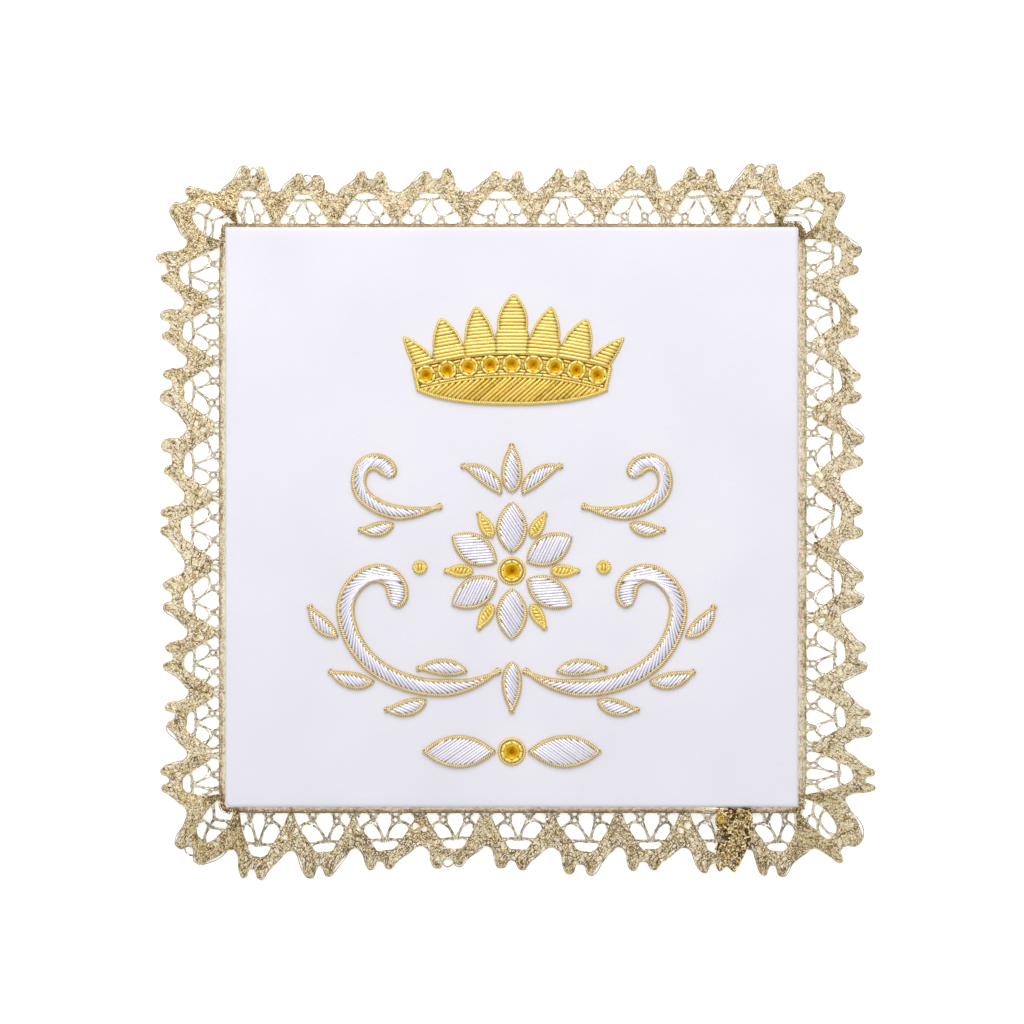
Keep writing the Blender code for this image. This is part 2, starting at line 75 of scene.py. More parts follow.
Ray = namedtuple("Ray", "middle width height lean straight")
RAYS = (
    Ray(middle=0.0, width=8.6, height=16.3, lean=0.0, straight=0.5),
    Ray(middle=8.6, width=8.6, height=13.2, lean=0.7, straight=0.3),
    Ray(middle=17.25, width=8.7, height=11.4, lean=1.05, straight=0.25),
    Ray(middle=24.85, width=6.5, height=8.8, lean=3.8, straight=0.1),
)
RAY_CLOSING = 0.86

FLOWER_Y = -15.0
FLOWER_PETALS = 6
PETAL_ROOT = 4.7
PETAL_LENGTH = 14.8
PETAL_WIDTH = 8.8
DROP_ROOT = 10.6
DROP_LENGTH = 8.4
DROP_WIDTH = 3.9
FLOWER_STONE_RADIUS = 2.3

# a scroll's runs are its stretches, each with its length and the degrees that it turns through
Scroll = namedtuple("Scroll", "name x y heading width taper runs")
SCROLLS = (
    Scroll("scroll_low", 3.3, -42.5, -36, 5.2, 16,
           ((14, 30), (20, 36), (20, 52), (14, 76), (9, 88), (6.0, 80))),
    Scroll("scroll_high", 19.5, 3.2, -22, 4.4, 12,
           ((10, 20), (12, 42), (9, 78), (7, 96), (4.5, 70))),
)
SprayLeaf = namedtuple("SprayLeaf", "name scroll along side lean length turn width")
SPRAY_LEAVES = (
    SprayLeaf("leaf_inner", 0, 9.0, 1, 34, 14.5, -28, 5.0),
    SprayLeaf("leaf_low", 0, 21.0, -1, 38, 12.5, 38, 5.0),
    SprayLeaf("leaf_outer", 0, 35.0, -1, 40, 13.5, 42, 5.0),
    SprayLeaf("leaf_side", 0, 49.0, -1, 42, 12.5, 42, 4.8),
    SprayLeaf("leaf_high", 1, 13.0, -1, 38, 10.5, 40, 4.4),
)
Leaf = namedtuple("Leaf", "name x y heading length turn width")
FINIAL = Leaf("finial_middle", 0.0, 6.6, 90, 14.0, 0, 6.0)
FINIAL_SIDE = Leaf("finial_side", 3.0, 6.2, 64, 14.5, -56, 4.8)
PENDANT = Leaf("pendant", 0.0, -40.2, -90, 14.5, 0, 5.8)
BAR_Y = -65.3
BAR_LEAF = Leaf("bar_leaf", 4.4, BAR_Y, 0, 20.6, 0, 9.4)
DOT_X = 25.6
DOT_Y = -14.0
DOT_RADIUS = 2.1
BAR_STONE_RADIUS = 2.2
# how pointed a leaf is at its root and at its tip: 0.5 is round and 1 is pointed
LEAF_FULLNESS = (0.75, 0.95)
PETAL_FULLNESS = (0.8, 0.85)
DROP_FULLNESS = (0.6, 0.9)
ALMOND_FULLNESS = (0.9, 0.9)


# the repeats of the lace: how far along its side each pair of tips is, from the side's middle, and its reach
FIRST_UNIT = (72.8, 18.3)
RIGHT_UNITS = (
    (-73.9, 21.6), (-57.6, 19.4), (-39.6, 18.9), (-19.8, 17.4), (-1.3, 17.8),
    (19.0, 17.6), (36.6, 17.5), (55.6, 16.7), (71.7, 17.5),
)
TOP_UNITS = (
    (69.2, 17.2), (53.3, 16.4), (36.1, 16.8), (16.1, 16.0), (-1.4, 15.6),
    (-21.4, 15.4), (-39.6, 15.0), (-57.0, 14.3), (-72.2, 16.6),
)
LEFT_UNITS = (
    (69.5, 18.6), (53.6, 17.2), (37.1, 16.9), (16.0, 16.9), (-1.3, 17.8),
    (-22.0, 16.7), (-39.1, 16.4), (-55.8, 15.9), (-73.4, 17.8),
)
BOTTOM_UNITS = (
    (-72.7, 20.1), (-54.0, 18.5), (-37.2, 17.5), (-17.4, 16.5), (0.0, 17.0),
    (19.4, 18.0), (37.1, 17.4), (56.2, 17.9),
)
# for each side: how wide the braid is; how much darker than usual it is painted by the panel and at its far
# side, and the footing cord, the trail, its edges and the bars are, as painted light and shade, since the
# sides are lit unevenly; the bars' radius; how high the feet are closed
Side = namedtuple("Side", (
    "braid", "near_shade", "far_shade", "cord_shade", "trail_shade", "edge_shade", "bar_shade", "bar_radius",
    "feet",
))
SIDES = {
    "right": Side(2.0, -0.42, 0.0, 0.12, -0.12, -0.25, -0.45, 0.225, (1.1, 2.1)),
    "top": Side(0.6, 0.5, 0.65, 0.5, -0.04, -0.25, -0.55, 0.205, (0.1, 1.9)),
    "left": Side(1.5, -0.45, 0.4, 0.2, -0.06, -0.25, -0.45, 0.225, (0.8, 2.3)),
    "bottom": Side(1.35, -0.6, 0.85, 0.75, 0.12, 0.05, -0.05, 0.265, (-0.5, 0.8)),
}
# how much darker the trail is painted at the corners, as painted light and shade, and how wide the fans are
# there, from the lower right one round
CORNER_SHADES = (-0.1, -0.2, -0.02, -0.02)
CORNER_SCALES = (0.9, 1.04, 1.0, 0.9)
# the radii of the panel's corners, from the upper right one round, and of those that the lace's path has
SATIN_CORNERS = (1.5, 0.5, 1.8, 0.5)
SATIN_CORNER = 0.8


# materials
class Shader:
    """A Principled material whose nodes are added one by one."""

    def __init__(self, name, colour, roughness, metallic=0.0):
        self.material = bpy.data.materials.new(name)
        self.material.use_nodes = True
        self.nodes = self.material.node_tree.nodes
        self.links = self.material.node_tree.links
        self.body = self.nodes["Principled BSDF"]
        self.set("Base Color", (*colour, 1))
        self.set("Roughness", roughness)
        self.set("Metallic", metallic)
        self.material.diffuse_color = (*colour, 1)

    def set(self, socket, value):
        self.body.inputs[socket].default_value = value

    def add(self, kind, **values):
        node = self.nodes.new(kind)
        for key, value in values.items():
            setattr(node, key, value)
        return node

    def drive(self, target, socket):
        self.links.new(socket, self.body.inputs[target])

    def noise(self, scale, detail=2.0, roughness=0.5, stretch=(1, 1, 1)):
        """Noise over the object's own coordinates, which are multiplied by stretch first."""
        coords = self.add("ShaderNodeTexCoord")
        mapping = self.add("ShaderNodeMapping")
        mapping.inputs["Scale"].default_value = stretch
        self.links.new(coords.outputs["Object"], mapping.inputs["Vector"])
        node = self.add("ShaderNodeTexNoise")
        node.inputs["Scale"].default_value = scale
        node.inputs["Detail"].default_value = detail
        node.inputs["Roughness"].default_value = roughness
        self.links.new(mapping.outputs["Vector"], node.inputs["Vector"])
        return node.outputs["Fac"]

    def ramp(self, value, stops):
        """Colours by a value, between stops that each have a place from 0 to 1 and a colour."""
        node = self.add("ShaderNodeValToRGB")
        self.links.new(value, node.inputs["Fac"])
        elements = node.color_ramp.elements
        while len(elements) < len(stops):
            elements.new(0.5)
        for element, (place, colour) in zip(elements, stops):
            element.position = place
            element.color = (*colour, 1)
        return node.outputs[0]

    def math(self, operation, a, b=None):
        node = self.add("ShaderNodeMath", operation=operation)
        for i, value in enumerate((a, b)):
            if value is None:
                continue
            if isinstance(value, (int, float)):
                node.inputs[i].default_value = value
            else:
                self.links.new(value, node.inputs[i])
        return node.outputs[0]

    def bump(self, height, strength, distance):
        node = self.add("ShaderNodeBump")
        node.inputs["Strength"].default_value = strength
        node.inputs["Distance"].default_value = distance
        self.links.new(height, node.inputs["Height"])
        self.drive("Normal", node.outputs[0])

    def multiply(self, share, a, b):
        """Colour a darkened by colour b, by a share of its full effect."""
        node = self.add("ShaderNodeMix", data_type="RGBA", blend_type="MULTIPLY")
        factor, first, second = (node.inputs[i] for i in (0, 6, 7))
        factor.default_value = share
        self.links.new(a, first)
        self.links.new(b, second)
        return node.outputs[2]

    def attribute(self, name):
        node = self.add("ShaderNodeAttribute")
        node.attribute_name = name
        return node.outputs["Fac"]


# the size of the weave's streaks across and up the panel, in metres
WARP = (0.00022, 0.0011)
WEFT = (0.0016, 0.00026)


def satin_material():
    """White satin: streaks of threads both ways, over a soft tint that shifts from place to place."""
    s = Shader("satin_white", (0.80, 0.79, 0.85), 0.42)
    soft = s.noise(28, 3)
    tint = s.ramp(soft, ((0.3, (0.772, 0.762, 0.818)), (0.7, (0.818, 0.807, 0.855))))
    warp = s.noise(1.0, 3, 0.6, (1 / WARP[0], 1 / WARP[1], 1))
    weft = s.noise(1.0, 3, 0.6, (1 / WEFT[0], 1 / WEFT[1], 1))
    weave = s.math("ADD", warp, weft)
    grain = s.ramp(warp, ((0.35, (0.955, 0.955, 0.96)), (0.65, (1.0, 1.0, 1.0))))
    s.drive("Base Color", s.multiply(0.75, tint, grain))
    s.drive("Roughness", s.math("ADD", s.math("MULTIPLY", weave, 0.22), 0.24))
    s.set("Sheen Weight", 0.12)
    s.set("Sheen Roughness", 0.4)
    s.set("Specular IOR Level", 0.35)
    s.bump(weave, 0.22, 0.00008)
    return s.material


def lame_material(name, dark, middle, light, metallic, roughness):
    """Metallised thread: flat foil wound on a core, with painted glints, so it flashes from light to dark all
    along.
    """
    s = Shader(name, middle, roughness, metallic)
    fine = s.noise(2200, 2, 0.7)
    patch = s.noise(240, 3, 0.6)
    mixed = s.math("ADD", s.math("MULTIPLY", fine, 0.5), s.math("MULTIPLY", patch, 0.25))
    mixed = s.math("ADD", mixed, s.math("MULTIPLY", s.attribute("tone"), 0.25))
    s.drive("Base Color", s.ramp(mixed, ((0.34, dark), (0.5, middle), (0.66, light))))
    s.bump(fine, 0.5, 0.00012)
    return s.material


# a coil's pitch, in mm along its wire
COIL_PITCH = 0.2


def purl_material(name, stops, roughness, metallic):
    """Tightly coiled wire, painted light where light falls and dark down between the lengths, with small
    painted flashes.
    """
    s = Shader(name, stops[-1][1], roughness, metallic)
    flicker = s.noise(900, 2, 0.6)
    level = s.math("ADD", s.math("MULTIPLY", flicker, 0.45), s.math("MULTIPLY", s.attribute("tone"), 0.55))
    s.drive("Base Color", s.ramp(level, stops))
    turns = s.math("SINE", s.math("MULTIPLY", s.attribute("along"), 2 * math.pi / COIL_PITCH))
    height = s.math("ADD", s.math("MULTIPLY", turns, 0.5), s.math("MULTIPLY", flicker, 1.2))
    s.bump(height, 0.07, 0.00004)
    return s.material


def stone_material():
    """Foil seen through amber glass, with painted reflections: dark in the middle of the cup, bright at its
    rim.
    """
    s = Shader("stone_amber", (0.80, 0.42, 0.03), 0.12, 0.15)
    stops = (
        (0.0, (0.26, 0.09, 0.002)), (0.3, (0.50, 0.23, 0.003)), (0.65, (0.66, 0.36, 0.006)),
        (1.0, (0.86, 0.57, 0.03)),
    )
    s.drive("Base Color", s.ramp(s.attribute("tone"), stops))
    s.set("Specular IOR Level", 0.03)
    return s.material


SATIN = satin_material()
LAME = lame_material("lace_gold", (0.18, 0.10, 0.01), (0.735, 0.555, 0.26), (1.0, 0.94, 0.71), 0.4, 0.34)
BRAID = lame_material("lace_braid", (0.28, 0.19, 0.08), (0.73, 0.57, 0.33), (1.0, 0.92, 0.74), 0.4, 0.38)
CORE = lame_material("lace_core", (0.17, 0.09, 0.01), (0.74, 0.52, 0.21), (1.0, 0.9, 0.63), 0.4, 0.36)
THREAD = lame_material("lace_thread", (0.19, 0.155, 0.085), (0.45, 0.39, 0.26), (0.74, 0.67, 0.51), 0.2, 0.55)
OUTLINE = lame_material("lace_outline", (0.25, 0.19, 0.09), (0.58, 0.48, 0.29), (0.9, 0.82, 0.61), 0.3, 0.45)
CURL = lame_material("lap_thread", (0.14, 0.07, 0.008), (0.73, 0.50, 0.18), (1.0, 0.88, 0.54), 0.4, 0.38)
KNOT = lame_material("knot_thread", (0.30, 0.17, 0.01), (0.60, 0.40, 0.05), (0.88, 0.68, 0.22), 0.3, 0.42)
GOLD = purl_material("purl_gold", (
    (0.0, (0.44, 0.27, 0.03)), (0.3, (0.82, 0.58, 0.115)), (0.7, (0.92, 0.745, 0.26)),
), 0.38, 0.6)
SILVER = purl_material("purl_silver", (
    (0.0, (0.50, 0.47, 0.55)), (0.25, (0.82, 0.80, 0.85)), (0.7, (0.91, 0.885, 0.94)),
), 0.4, 0.7)
CORD = purl_material("cord_gold", (
    (0.1, (0.31, 0.18, 0.045)), (0.4, (0.73, 0.53, 0.205)), (0.75, (0.94, 0.79, 0.42)),
), 0.4, 0.6)
AMBER = stone_material()


# mesh building, in mm. A tone is how light a point is: 0 is dark and 1 is light
def distances_along(path):
    """How far along a path each of its points is."""
    steps = np.linalg.norm(np.diff(path, axis=0), axis=1)
    return np.concatenate([[0], np.cumsum(steps)])


def unit_vectors(vectors):
    return vectors / (np.linalg.norm(vectors, axis=1)[:, None] + 1e-9)


def level_sides(tangent):
    """The level directions at right angles to a path."""
    return unit_vectors(np.stack([tangent[:, 1], -tangent[:, 0], np.zeros(len(tangent))], 1))


def ring_quads(rows, size):
    """Corners of the quads between rows of points, each a closed ring: here, next, next above, above."""
    a = np.arange(rows - 1)[:, None] * size
    i = np.arange(size)[None, :]
    j = (i + 1) % size
    return a + i, a + j, a + size + j, a + size + i


class Bag:
    """Collects strands and surfaces for one mesh."""

    def __init__(self):
        self.points = []
        self.quads = []
        self.tris = []
        self.tone = []
        self.along = []
        self.count = 0

    def add(self, points, quads=None, tris=None, tone=0.5, along=None):
        points = np.asarray(points, float)
        self.points.append(points)
        if quads is not None and len(quads):
            self.quads.append(np.asarray(quads) + self.count)
        if tris is not None and len(tris):
            self.tris.append(np.asarray(tris) + self.count)
        self.tone.append(np.broadcast_to(np.asarray(tone, float), len(points)))
        self.along.append(np.zeros(len(points)) if along is None else np.asarray(along, float))
        self.count += len(points)

    def tube(self, path, radius, sides, closed=False, tone=0.5, slant=0.0, start=0.0):
        """A round strand along path. slant leans its rings, as the turns of a coil lean.

        tone is one value, or one for each point of its rings and then its two ends. start is where the coil's
        turns are counted from.
        """
        path = np.asarray(path, float)
        if len(path) < 2:
            return
        if closed:
            tangent = np.roll(path, -1, 0) - np.roll(path, 1, 0)
        else:
            tangent = np.gradient(path, axis=0)
        tangent = unit_vectors(tangent)
        side = level_sides(tangent)
        up = np.cross(side, tangent)
        radius = np.broadcast_to(np.asarray(radius, float), len(path))
        turn = 2 * np.pi * (np.arange(sides) + 0.5) / sides
        ring_side = np.cos(turn)[None, :, None] * side[:, None, :]
        ring_up = np.sin(turn)[None, :, None] * up[:, None, :]
        rings = path[:, None, :] + radius[:, None, None] * (ring_side + ring_up)
        if slant:
            rings += (slant * radius)[:, None, None] * np.cos(turn)[None, :, None] * tangent[:, None, :]
        along = start + distances_along(path)
        points = rings.reshape(-1, 3)
        quads = np.stack(ring_quads(len(path) + closed, sides), -1).reshape(-1, 4) % len(points)
        tris = []
        ends = []
        if not closed:
            low, high = len(points), len(points) + 1
            points = np.vstack([points, path[:1], path[-1:]])
            first = np.arange(sides)
            tris = [(low, (k + 1) % sides, k) for k in first]
            last = (len(path) - 1) * sides
            tris += [(high, last + k, last + (k + 1) % sides) for k in first]
            ends = [along[0], along[-1]]
        self.add(points, quads, tris, tone, np.concatenate([np.repeat(along, sides), ends]))

    def loft(self, sections, tone):
        """A closed solid through sections of as many points each, anticlockwise as seen along its way."""
        sections = np.asarray(sections, float)
        rows, size = sections.shape[:2]
        here, beside, beyond, above = ring_quads(rows, size)
        quads = np.stack([beside, here, above, beyond], -1).reshape(-1, 4)
        tris = [(0, k, k + 1) for k in range(1, size - 1)]
        last = (rows - 1) * size
        tris += [(last, last + k + 1, last + k) for k in range(1, size - 1)]
        self.add(sections.reshape(-1, 3), quads, tris, tone)

    def mirrored(self):
        """The same on the other side of the middle line."""
        other = Bag()
        other.points = [p * np.array([-1, 1, 1]) for p in self.points]
        other.quads = [q[:, ::-1] for q in self.quads]
        other.tris = [np.asarray(t)[:, ::-1] for t in self.tris]
        other.tone = self.tone
        other.along = self.along
        other.count = self.count
        return other

    def make(self, name, material, slot, nodes=(), smooth=True):
        """The mesh in the scene, which rides on the root and stands for these nodes of the frame."""
        points = np.vstack(self.points) * MM
        quads = np.vstack(self.quads) if self.quads else np.zeros((0, 4), int)
        tris = np.vstack(self.tris) if self.tris else np.zeros((0, 3), int)
        mesh = bpy.data.meshes.new(name)
        mesh.vertices.add(len(points))
        mesh.vertices.foreach_set("co", points.astype(np.float32).ravel())
        corners = np.concatenate([quads.ravel(), tris.ravel()]).astype(np.int32)
        mesh.loops.add(len(corners))
        mesh.loops.foreach_set("vertex_index", corners)
        sizes = np.concatenate([np.full(len(quads), 4), np.full(len(tris), 3)])
        starts = np.concatenate([[0], np.cumsum(sizes)[:-1]]).astype(np.int32)
        mesh.polygons.add(len(sizes))
        mesh.polygons.foreach_set("loop_start", starts)
        mesh.update(calc_edges=True)
        mesh.polygons.foreach_set("use_smooth", np.full(len(sizes), smooth))
        for key, values in (("tone", self.tone), ("along", self.along)):
            layer = mesh.attributes.new(key, "FLOAT", "POINT")
            layer.data.foreach_set("value", np.concatenate(values).astype(np.float32))
        mesh.materials.append(material)
        mesh.update()
        made = bpy.data.objects.new(name, mesh)
        bpy.context.scene.collection.objects.link(made)
        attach(made, "root")
        if nodes:
            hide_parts(*nodes)
        return made


def resample(path, step, closed=False):
    """Points evenly spaced along a path, about step apart."""
    path = np.asarray(path, float)
    if closed:
        path = np.vstack([path, path[:1]])
    along = distances_along(path)
    count = max(2, int(round(along[-1] / step)))
    want = np.linspace(0, along[-1], count + 1)
    if closed:
        want = want[:-1]
    return np.stack([np.interp(want, along, path[:, k]) for k in range(path.shape[1])], 1)


# camera, light and floor
PICTURE_PIXELS = 1024
PIXEL = 0.2787 * MM
LENS = 85.0
SENSOR = 36.0
# how many pixels the middle of the picture is right of the panel's middle, and above it
CAMERA_SHIFT = (0.2, 5.1)
SKY_LOW = (0.36, 0.36, 0.37)
SKY_HIGH = (0.885, 0.89, 0.92)
Light = namedtuple("Light", "name place size power colour")
LIGHTS = (
    Light("key", (0.0, 0.50, 0.55), 0.5, 2.6, (1.0, 0.985, 0.97)),
    Light("overhead", (-0.14, 0.26, 1.08), 0.7, 1.2, (0.98, 0.985, 1.0)),
    Light("side", (-0.8, 0.0, 0.5), 0.5, 0.4, (1.0, 1.0, 1.0)),
)
FLOOR_HALF = 4.0
FLOOR_DROP = 0.0002


def make_camera(scene):
    """A camera straight above, so far off that a pixel at the panel's top has its size."""
    data = bpy.data.cameras.new("camera")
    data.lens = LENS
    data.sensor_width = SENSOR
    data.clip_start = 0.01
    distance = PICTURE_PIXELS * PIXEL / 2 / (SENSOR / 2 / LENS)
    camera = bpy.data.objects.new("camera", data)
    camera.location = (CAMERA_SHIFT[0] * PIXEL, CAMERA_SHIFT[1] * PIXEL, distance + PANEL_THICKNESS * MM)
    scene.collection.objects.link(camera)
    scene.camera = camera


def make_sky(scene):
    world = bpy.data.worlds.new("studio")
    scene.world = world
    world.use_nodes = True
    tree = world.node_tree
    coords = tree.nodes.new("ShaderNodeTexCoord")
    split = tree.nodes.new("ShaderNodeSeparateXYZ")
    fade = tree.nodes.new("ShaderNodeValToRGB")
    tree.links.new(coords.outputs["Generated"], split.inputs[0])
    tree.links.new(split.outputs["Z"], fade.inputs["Fac"])
    low, high = fade.color_ramp.elements
    low.position, low.color = 0.0, (*SKY_LOW, 1)
    high.position, high.color = 0.9, (*SKY_HIGH, 1)
    tree.links.new(fade.outputs[0], tree.nodes["Background"].inputs["Color"])
    tree.nodes["Background"].inputs["Strength"].default_value = 0.9


def make_lights(scene):
    for row in LIGHTS:
        light = bpy.data.lights.new(row.name, "AREA")
        light.size = row.size
        light.energy = row.power
        light.color = row.colour
        lamp = bpy.data.objects.new(row.name, light)
        lamp.location = row.place
        lamp.rotation_euler = (-Vector(row.place)).to_track_quat("-Z", "Y").to_euler()
        scene.collection.objects.link(lamp)


def make_floor(scene):
    floor = Shader("floor", (0.95, 0.95, 0.95), 0.9)
    floor.set("Emission Color", (1, 1, 1, 1))
    floor.set("Emission Strength", 0.45)
    mesh = bpy.data.meshes.new("floor")
    corners = [(x * FLOOR_HALF, y * FLOOR_HALF, 0) for x, y in ((-1, -1), (1, -1), (1, 1), (-1, 1))]
    mesh.from_pydata(corners, [], [(0, 1, 2, 3)])
    mesh.materials.append(floor.material)
    plate = bpy.data.objects.new("floor", mesh)
    plate.location = (0, 0, -FLOOR_DROP)
    scene.collection.objects.link(plate)


def make_stage():
    scene = bpy.context.scene
    scene.view_settings.view_transform = "Standard"
    make_camera(scene)
    make_sky(scene)
    make_lights(scene)
    make_floor(scene)


# the satin panel
TOP_RINGS = 34
BEND_RINGS = 7
UNDER_RINGS = 12
# how much the satin rises in the middle, and how deep its soft waves and the tucks by its edge are
CROWN_RISE = 0.10
WAVE_DEPTH = 0.025
TUCK_DEPTH = 0.02


def ring_of(half_width, half_height, radii, per_side=48, per_corner=8):
    """A rectangle with four round corners, from the upper right one anticlockwise."""
    points = []
    corners = ((1, 1), (-1, 1), (-1, -1), (1, -1))
    for corner, (sx, sy) in enumerate(corners):
        radius = radii[corner]
        cx, cy = sx * (half_width - radius), sy * (half_height - radius)
        for i in range(per_corner + 1):
            angle = QUARTER * (corner + i / per_corner)
            points.append((cx + radius * math.cos(angle), cy + radius * math.sin(angle)))
        nx, ny = corners[(corner + 1) % 4]
        after = radii[(corner + 1) % 4]
        angle = QUARTER * (corner + 1)
        x, y = points[-1]
        far_x = nx * (half_width - after) + after * math.cos(angle)
        far_y = ny * (half_height - after) + after * math.sin(angle)
        for share in (i / per_side for i in range(1, per_side)):
            points.append((x + (far_x - x) * share, y + (far_y - y) * share))
    return np.array(points)


def panel_rings():
    """Half widths, half heights and levels, from the middle of the top round the edge and back underneath."""
    half_w, half_h = PANEL_WIDTH / 2, PANEL_HEIGHT / 2
    flat_w, flat_h = half_w - PANEL_ROUNDING, half_h - PANEL_ROUNDING
    rings = []
    for share in ((i / TOP_RINGS) ** 0.85 for i in range(1, TOP_RINGS + 1)):
        rings.append((flat_w * share, flat_h * share, PANEL_THICKNESS))
    for angle in (QUARTER * i / BEND_RINGS for i in range(1, BEND_RINGS + 1)):
        inward = PANEL_ROUNDING * (1 - math.sin(angle))
        drop = PANEL_ROUNDING * (1 - math.cos(angle))
        rings.append((half_w - inward, half_h - inward, PANEL_THICKNESS - drop))
    for angle in (QUARTER * i / BEND_RINGS for i in range(BEND_RINGS + 1)):
        inward = PANEL_ROUNDING * (1 - math.cos(angle))
        rings.append((half_w - inward, half_h - inward, PANEL_ROUNDING * (1 - math.sin(angle))))
    for share in (i / (UNDER_RINGS + 1) for i in range(UNDER_RINGS, 0, -1)):
        rings.append((flat_w * share, flat_h * share, 0.0))
    return rings


def satin_level(x, y):
    """Heights of the satin's top, with a slight crown, soft waves and tucks by the edge."""
    half_w, half_h = PANEL_WIDTH / 2, PANEL_HEIGHT / 2
    crown = CROWN_RISE * (1 - (x / half_w) ** 4) * (1 - (y / half_h) ** 4)
    wave = WAVE_DEPTH * np.sin(x * 0.21 + 0.7 * np.sin(y * 0.11)) * np.sin(y * 0.16 + 1.3)
    edge = np.minimum(half_w - abs(x), half_h - abs(y))
    tuck = TUCK_DEPTH * np.sin((x + y) * 1.9) * np.exp(-edge / 3.0)
    return PANEL_THICKNESS + crown + wave * (1 - np.exp(-edge / 6)) + tuck


def make_panel():
    """The wrapped board: its top, its rolled edge, its sides and its underside."""
    points = []
    for width, height, z in panel_rings():
        ring = ring_of(width, height, [min(radius, width * 0.5) for radius in SATIN_CORNERS])
        level = satin_level(ring[:, 0], ring[:, 1]) if z == PANEL_THICKNESS else np.full(len(ring), z)
        points.append(np.column_stack([ring, level]))
    size = len(points[0])
    here, beside, beyond, above = ring_quads(len(points), size)
    quads = np.stack([here, above, beyond, beside], -1).reshape(-1, 4)
    last = (len(points) - 1) * size
    top, under = last + size, last + size + 1
    flat = np.vstack([*points, [[0, 0, PANEL_THICKNESS + CROWN_RISE]], [[0, 0, 0]]])
    tris = [(top, k, (k + 1) % size) for k in range(size)]
    tris += [(under, last + (k + 1) % size, last + k) for k in range(size)]
    bag = Bag()
    bag.add(flat, quads, tris)
    panel = bag.make("satin_panel", SATIN, "satin_white", ("pall_panel",))


# the lace: its path round the panel
PATH_CORNER = SATIN_CORNER + GAP
HALF_W = PANEL_WIDTH / 2 + GAP
HALF_H = PANEL_HEIGHT / 2 + GAP
STRAIGHT_X = 2 * (HALF_W - PATH_CORNER)
STRAIGHT_Y = 2 * (HALF_H - PATH_CORNER)
# distances along the tips are counted this far out, where the corners are wide
TIP_RADIUS = PATH_CORNER + 12.0
# the repeats at the corners, from the lower right one round: their reach, how far after the corner's middle
# they have theirs, and how far before and after it their valleys are, at the tips and at the foot
Corner = namedtuple("Corner", "reach middle before after foot_before foot_after")
CORNERS = (
    Corner(19.8, 0.0, 5.0, 11.1, 0.6, 2.8),
    Corner(15.8, 0.6, 6.9, 11.8, 2.7, 5.0),
    Corner(15.3, 2.5, 5.7, 13.6, 3.2, 4.2),
    Corner(17.3, 1.4, 6.6, 10.3, 3.3, 3.2),
)
# where the first repeat starts and the last one ends, from the lower side's middle, and how long the lap is
LAP_EDGE = 66.2
LAST_END = 64.5
LAP_SPAN = 9.0
# the fans and valleys of the straight sides come this far after the middles between their tips
LAG = 1.55


def path_length(radius):
    return 2 * (STRAIGHT_X + STRAIGHT_Y) + 2 * math.pi * radius


def path_point(distance, radius):
    """Places on the panel's side and the angles straight out, for path distances with corners of a radius."""
    arc = QUARTER * radius
    distance = np.mod(distance, path_length(radius))
    x = np.zeros_like(distance)
    y = np.zeros_like(distance)
    angle = np.zeros_like(distance)
    pieces = (
        (STRAIGHT_Y, (HALF_W, -STRAIGHT_Y / 2), 0.0, False),
        (arc, (HALF_W - PATH_CORNER, STRAIGHT_Y / 2), 0.0, True),
        (STRAIGHT_X, (STRAIGHT_X / 2, HALF_H), QUARTER, False),
        (arc, (-STRAIGHT_X / 2, HALF_H - PATH_CORNER), QUARTER, True),
        (STRAIGHT_Y, (-HALF_W, STRAIGHT_Y / 2), math.pi, False),
        (arc, (-HALF_W + PATH_CORNER, -STRAIGHT_Y / 2), math.pi, True),
        (STRAIGHT_X, (-STRAIGHT_X / 2, -HALF_H), 3 * QUARTER, False),
        (arc, (STRAIGHT_X / 2, -HALF_H + PATH_CORNER), 3 * QUARTER, True),
    )
    start = 0.0
    for length, (px, py), out, bent in pieces:
        here = (distance >= start) & (distance <= start + length + 1e-9)
        local = distance[here] - start
        if bent:
            turned = out + local / radius
            x[here] = px + PATH_CORNER * np.cos(turned)
            y[here] = py + PATH_CORNER * np.sin(turned)
            angle[here] = turned
        else:
            x[here] = px - math.sin(out) * local
            y[here] = py + math.cos(out) * local
            angle[here] = out
        start += length
    return x, y, angle


Row = namedtuple("Row", "place reach corner side")


def unit_rows(radius):
    """Every pair of tips from lap to lap: path distance, reach, its corner if it has one, and its side."""
    arc = QUARTER * radius
    top_start = STRAIGHT_Y + arc
    left_start = top_start + STRAIGHT_X + arc
    bottom_start = left_start + STRAIGHT_Y + arc
    bottom_middle = bottom_start + STRAIGHT_X / 2
    first_place, first_reach = FIRST_UNIT
    rows = [Row(bottom_middle + first_place - path_length(radius), first_reach, None, SIDES["bottom"])]
    sides = (
        (-arc / 2, RIGHT_UNITS, STRAIGHT_Y / 2, 1, "right"),
        (STRAIGHT_Y + arc / 2, TOP_UNITS, top_start + STRAIGHT_X / 2, -1, "top"),
        (left_start - arc / 2, LEFT_UNITS, left_start + STRAIGHT_Y / 2, -1, "left"),
        (bottom_start - arc / 2, BOTTOM_UNITS, bottom_middle, 1, "bottom"),
    )
    for (place, units, middle, sign, name), corner in zip(sides, CORNERS):
        rows.append(Row(place, corner.reach, corner, SIDES[name]))
        rows += [Row(middle + sign * along, reach, None, SIDES[name]) for along, reach in units]
    return rows, bottom_middle


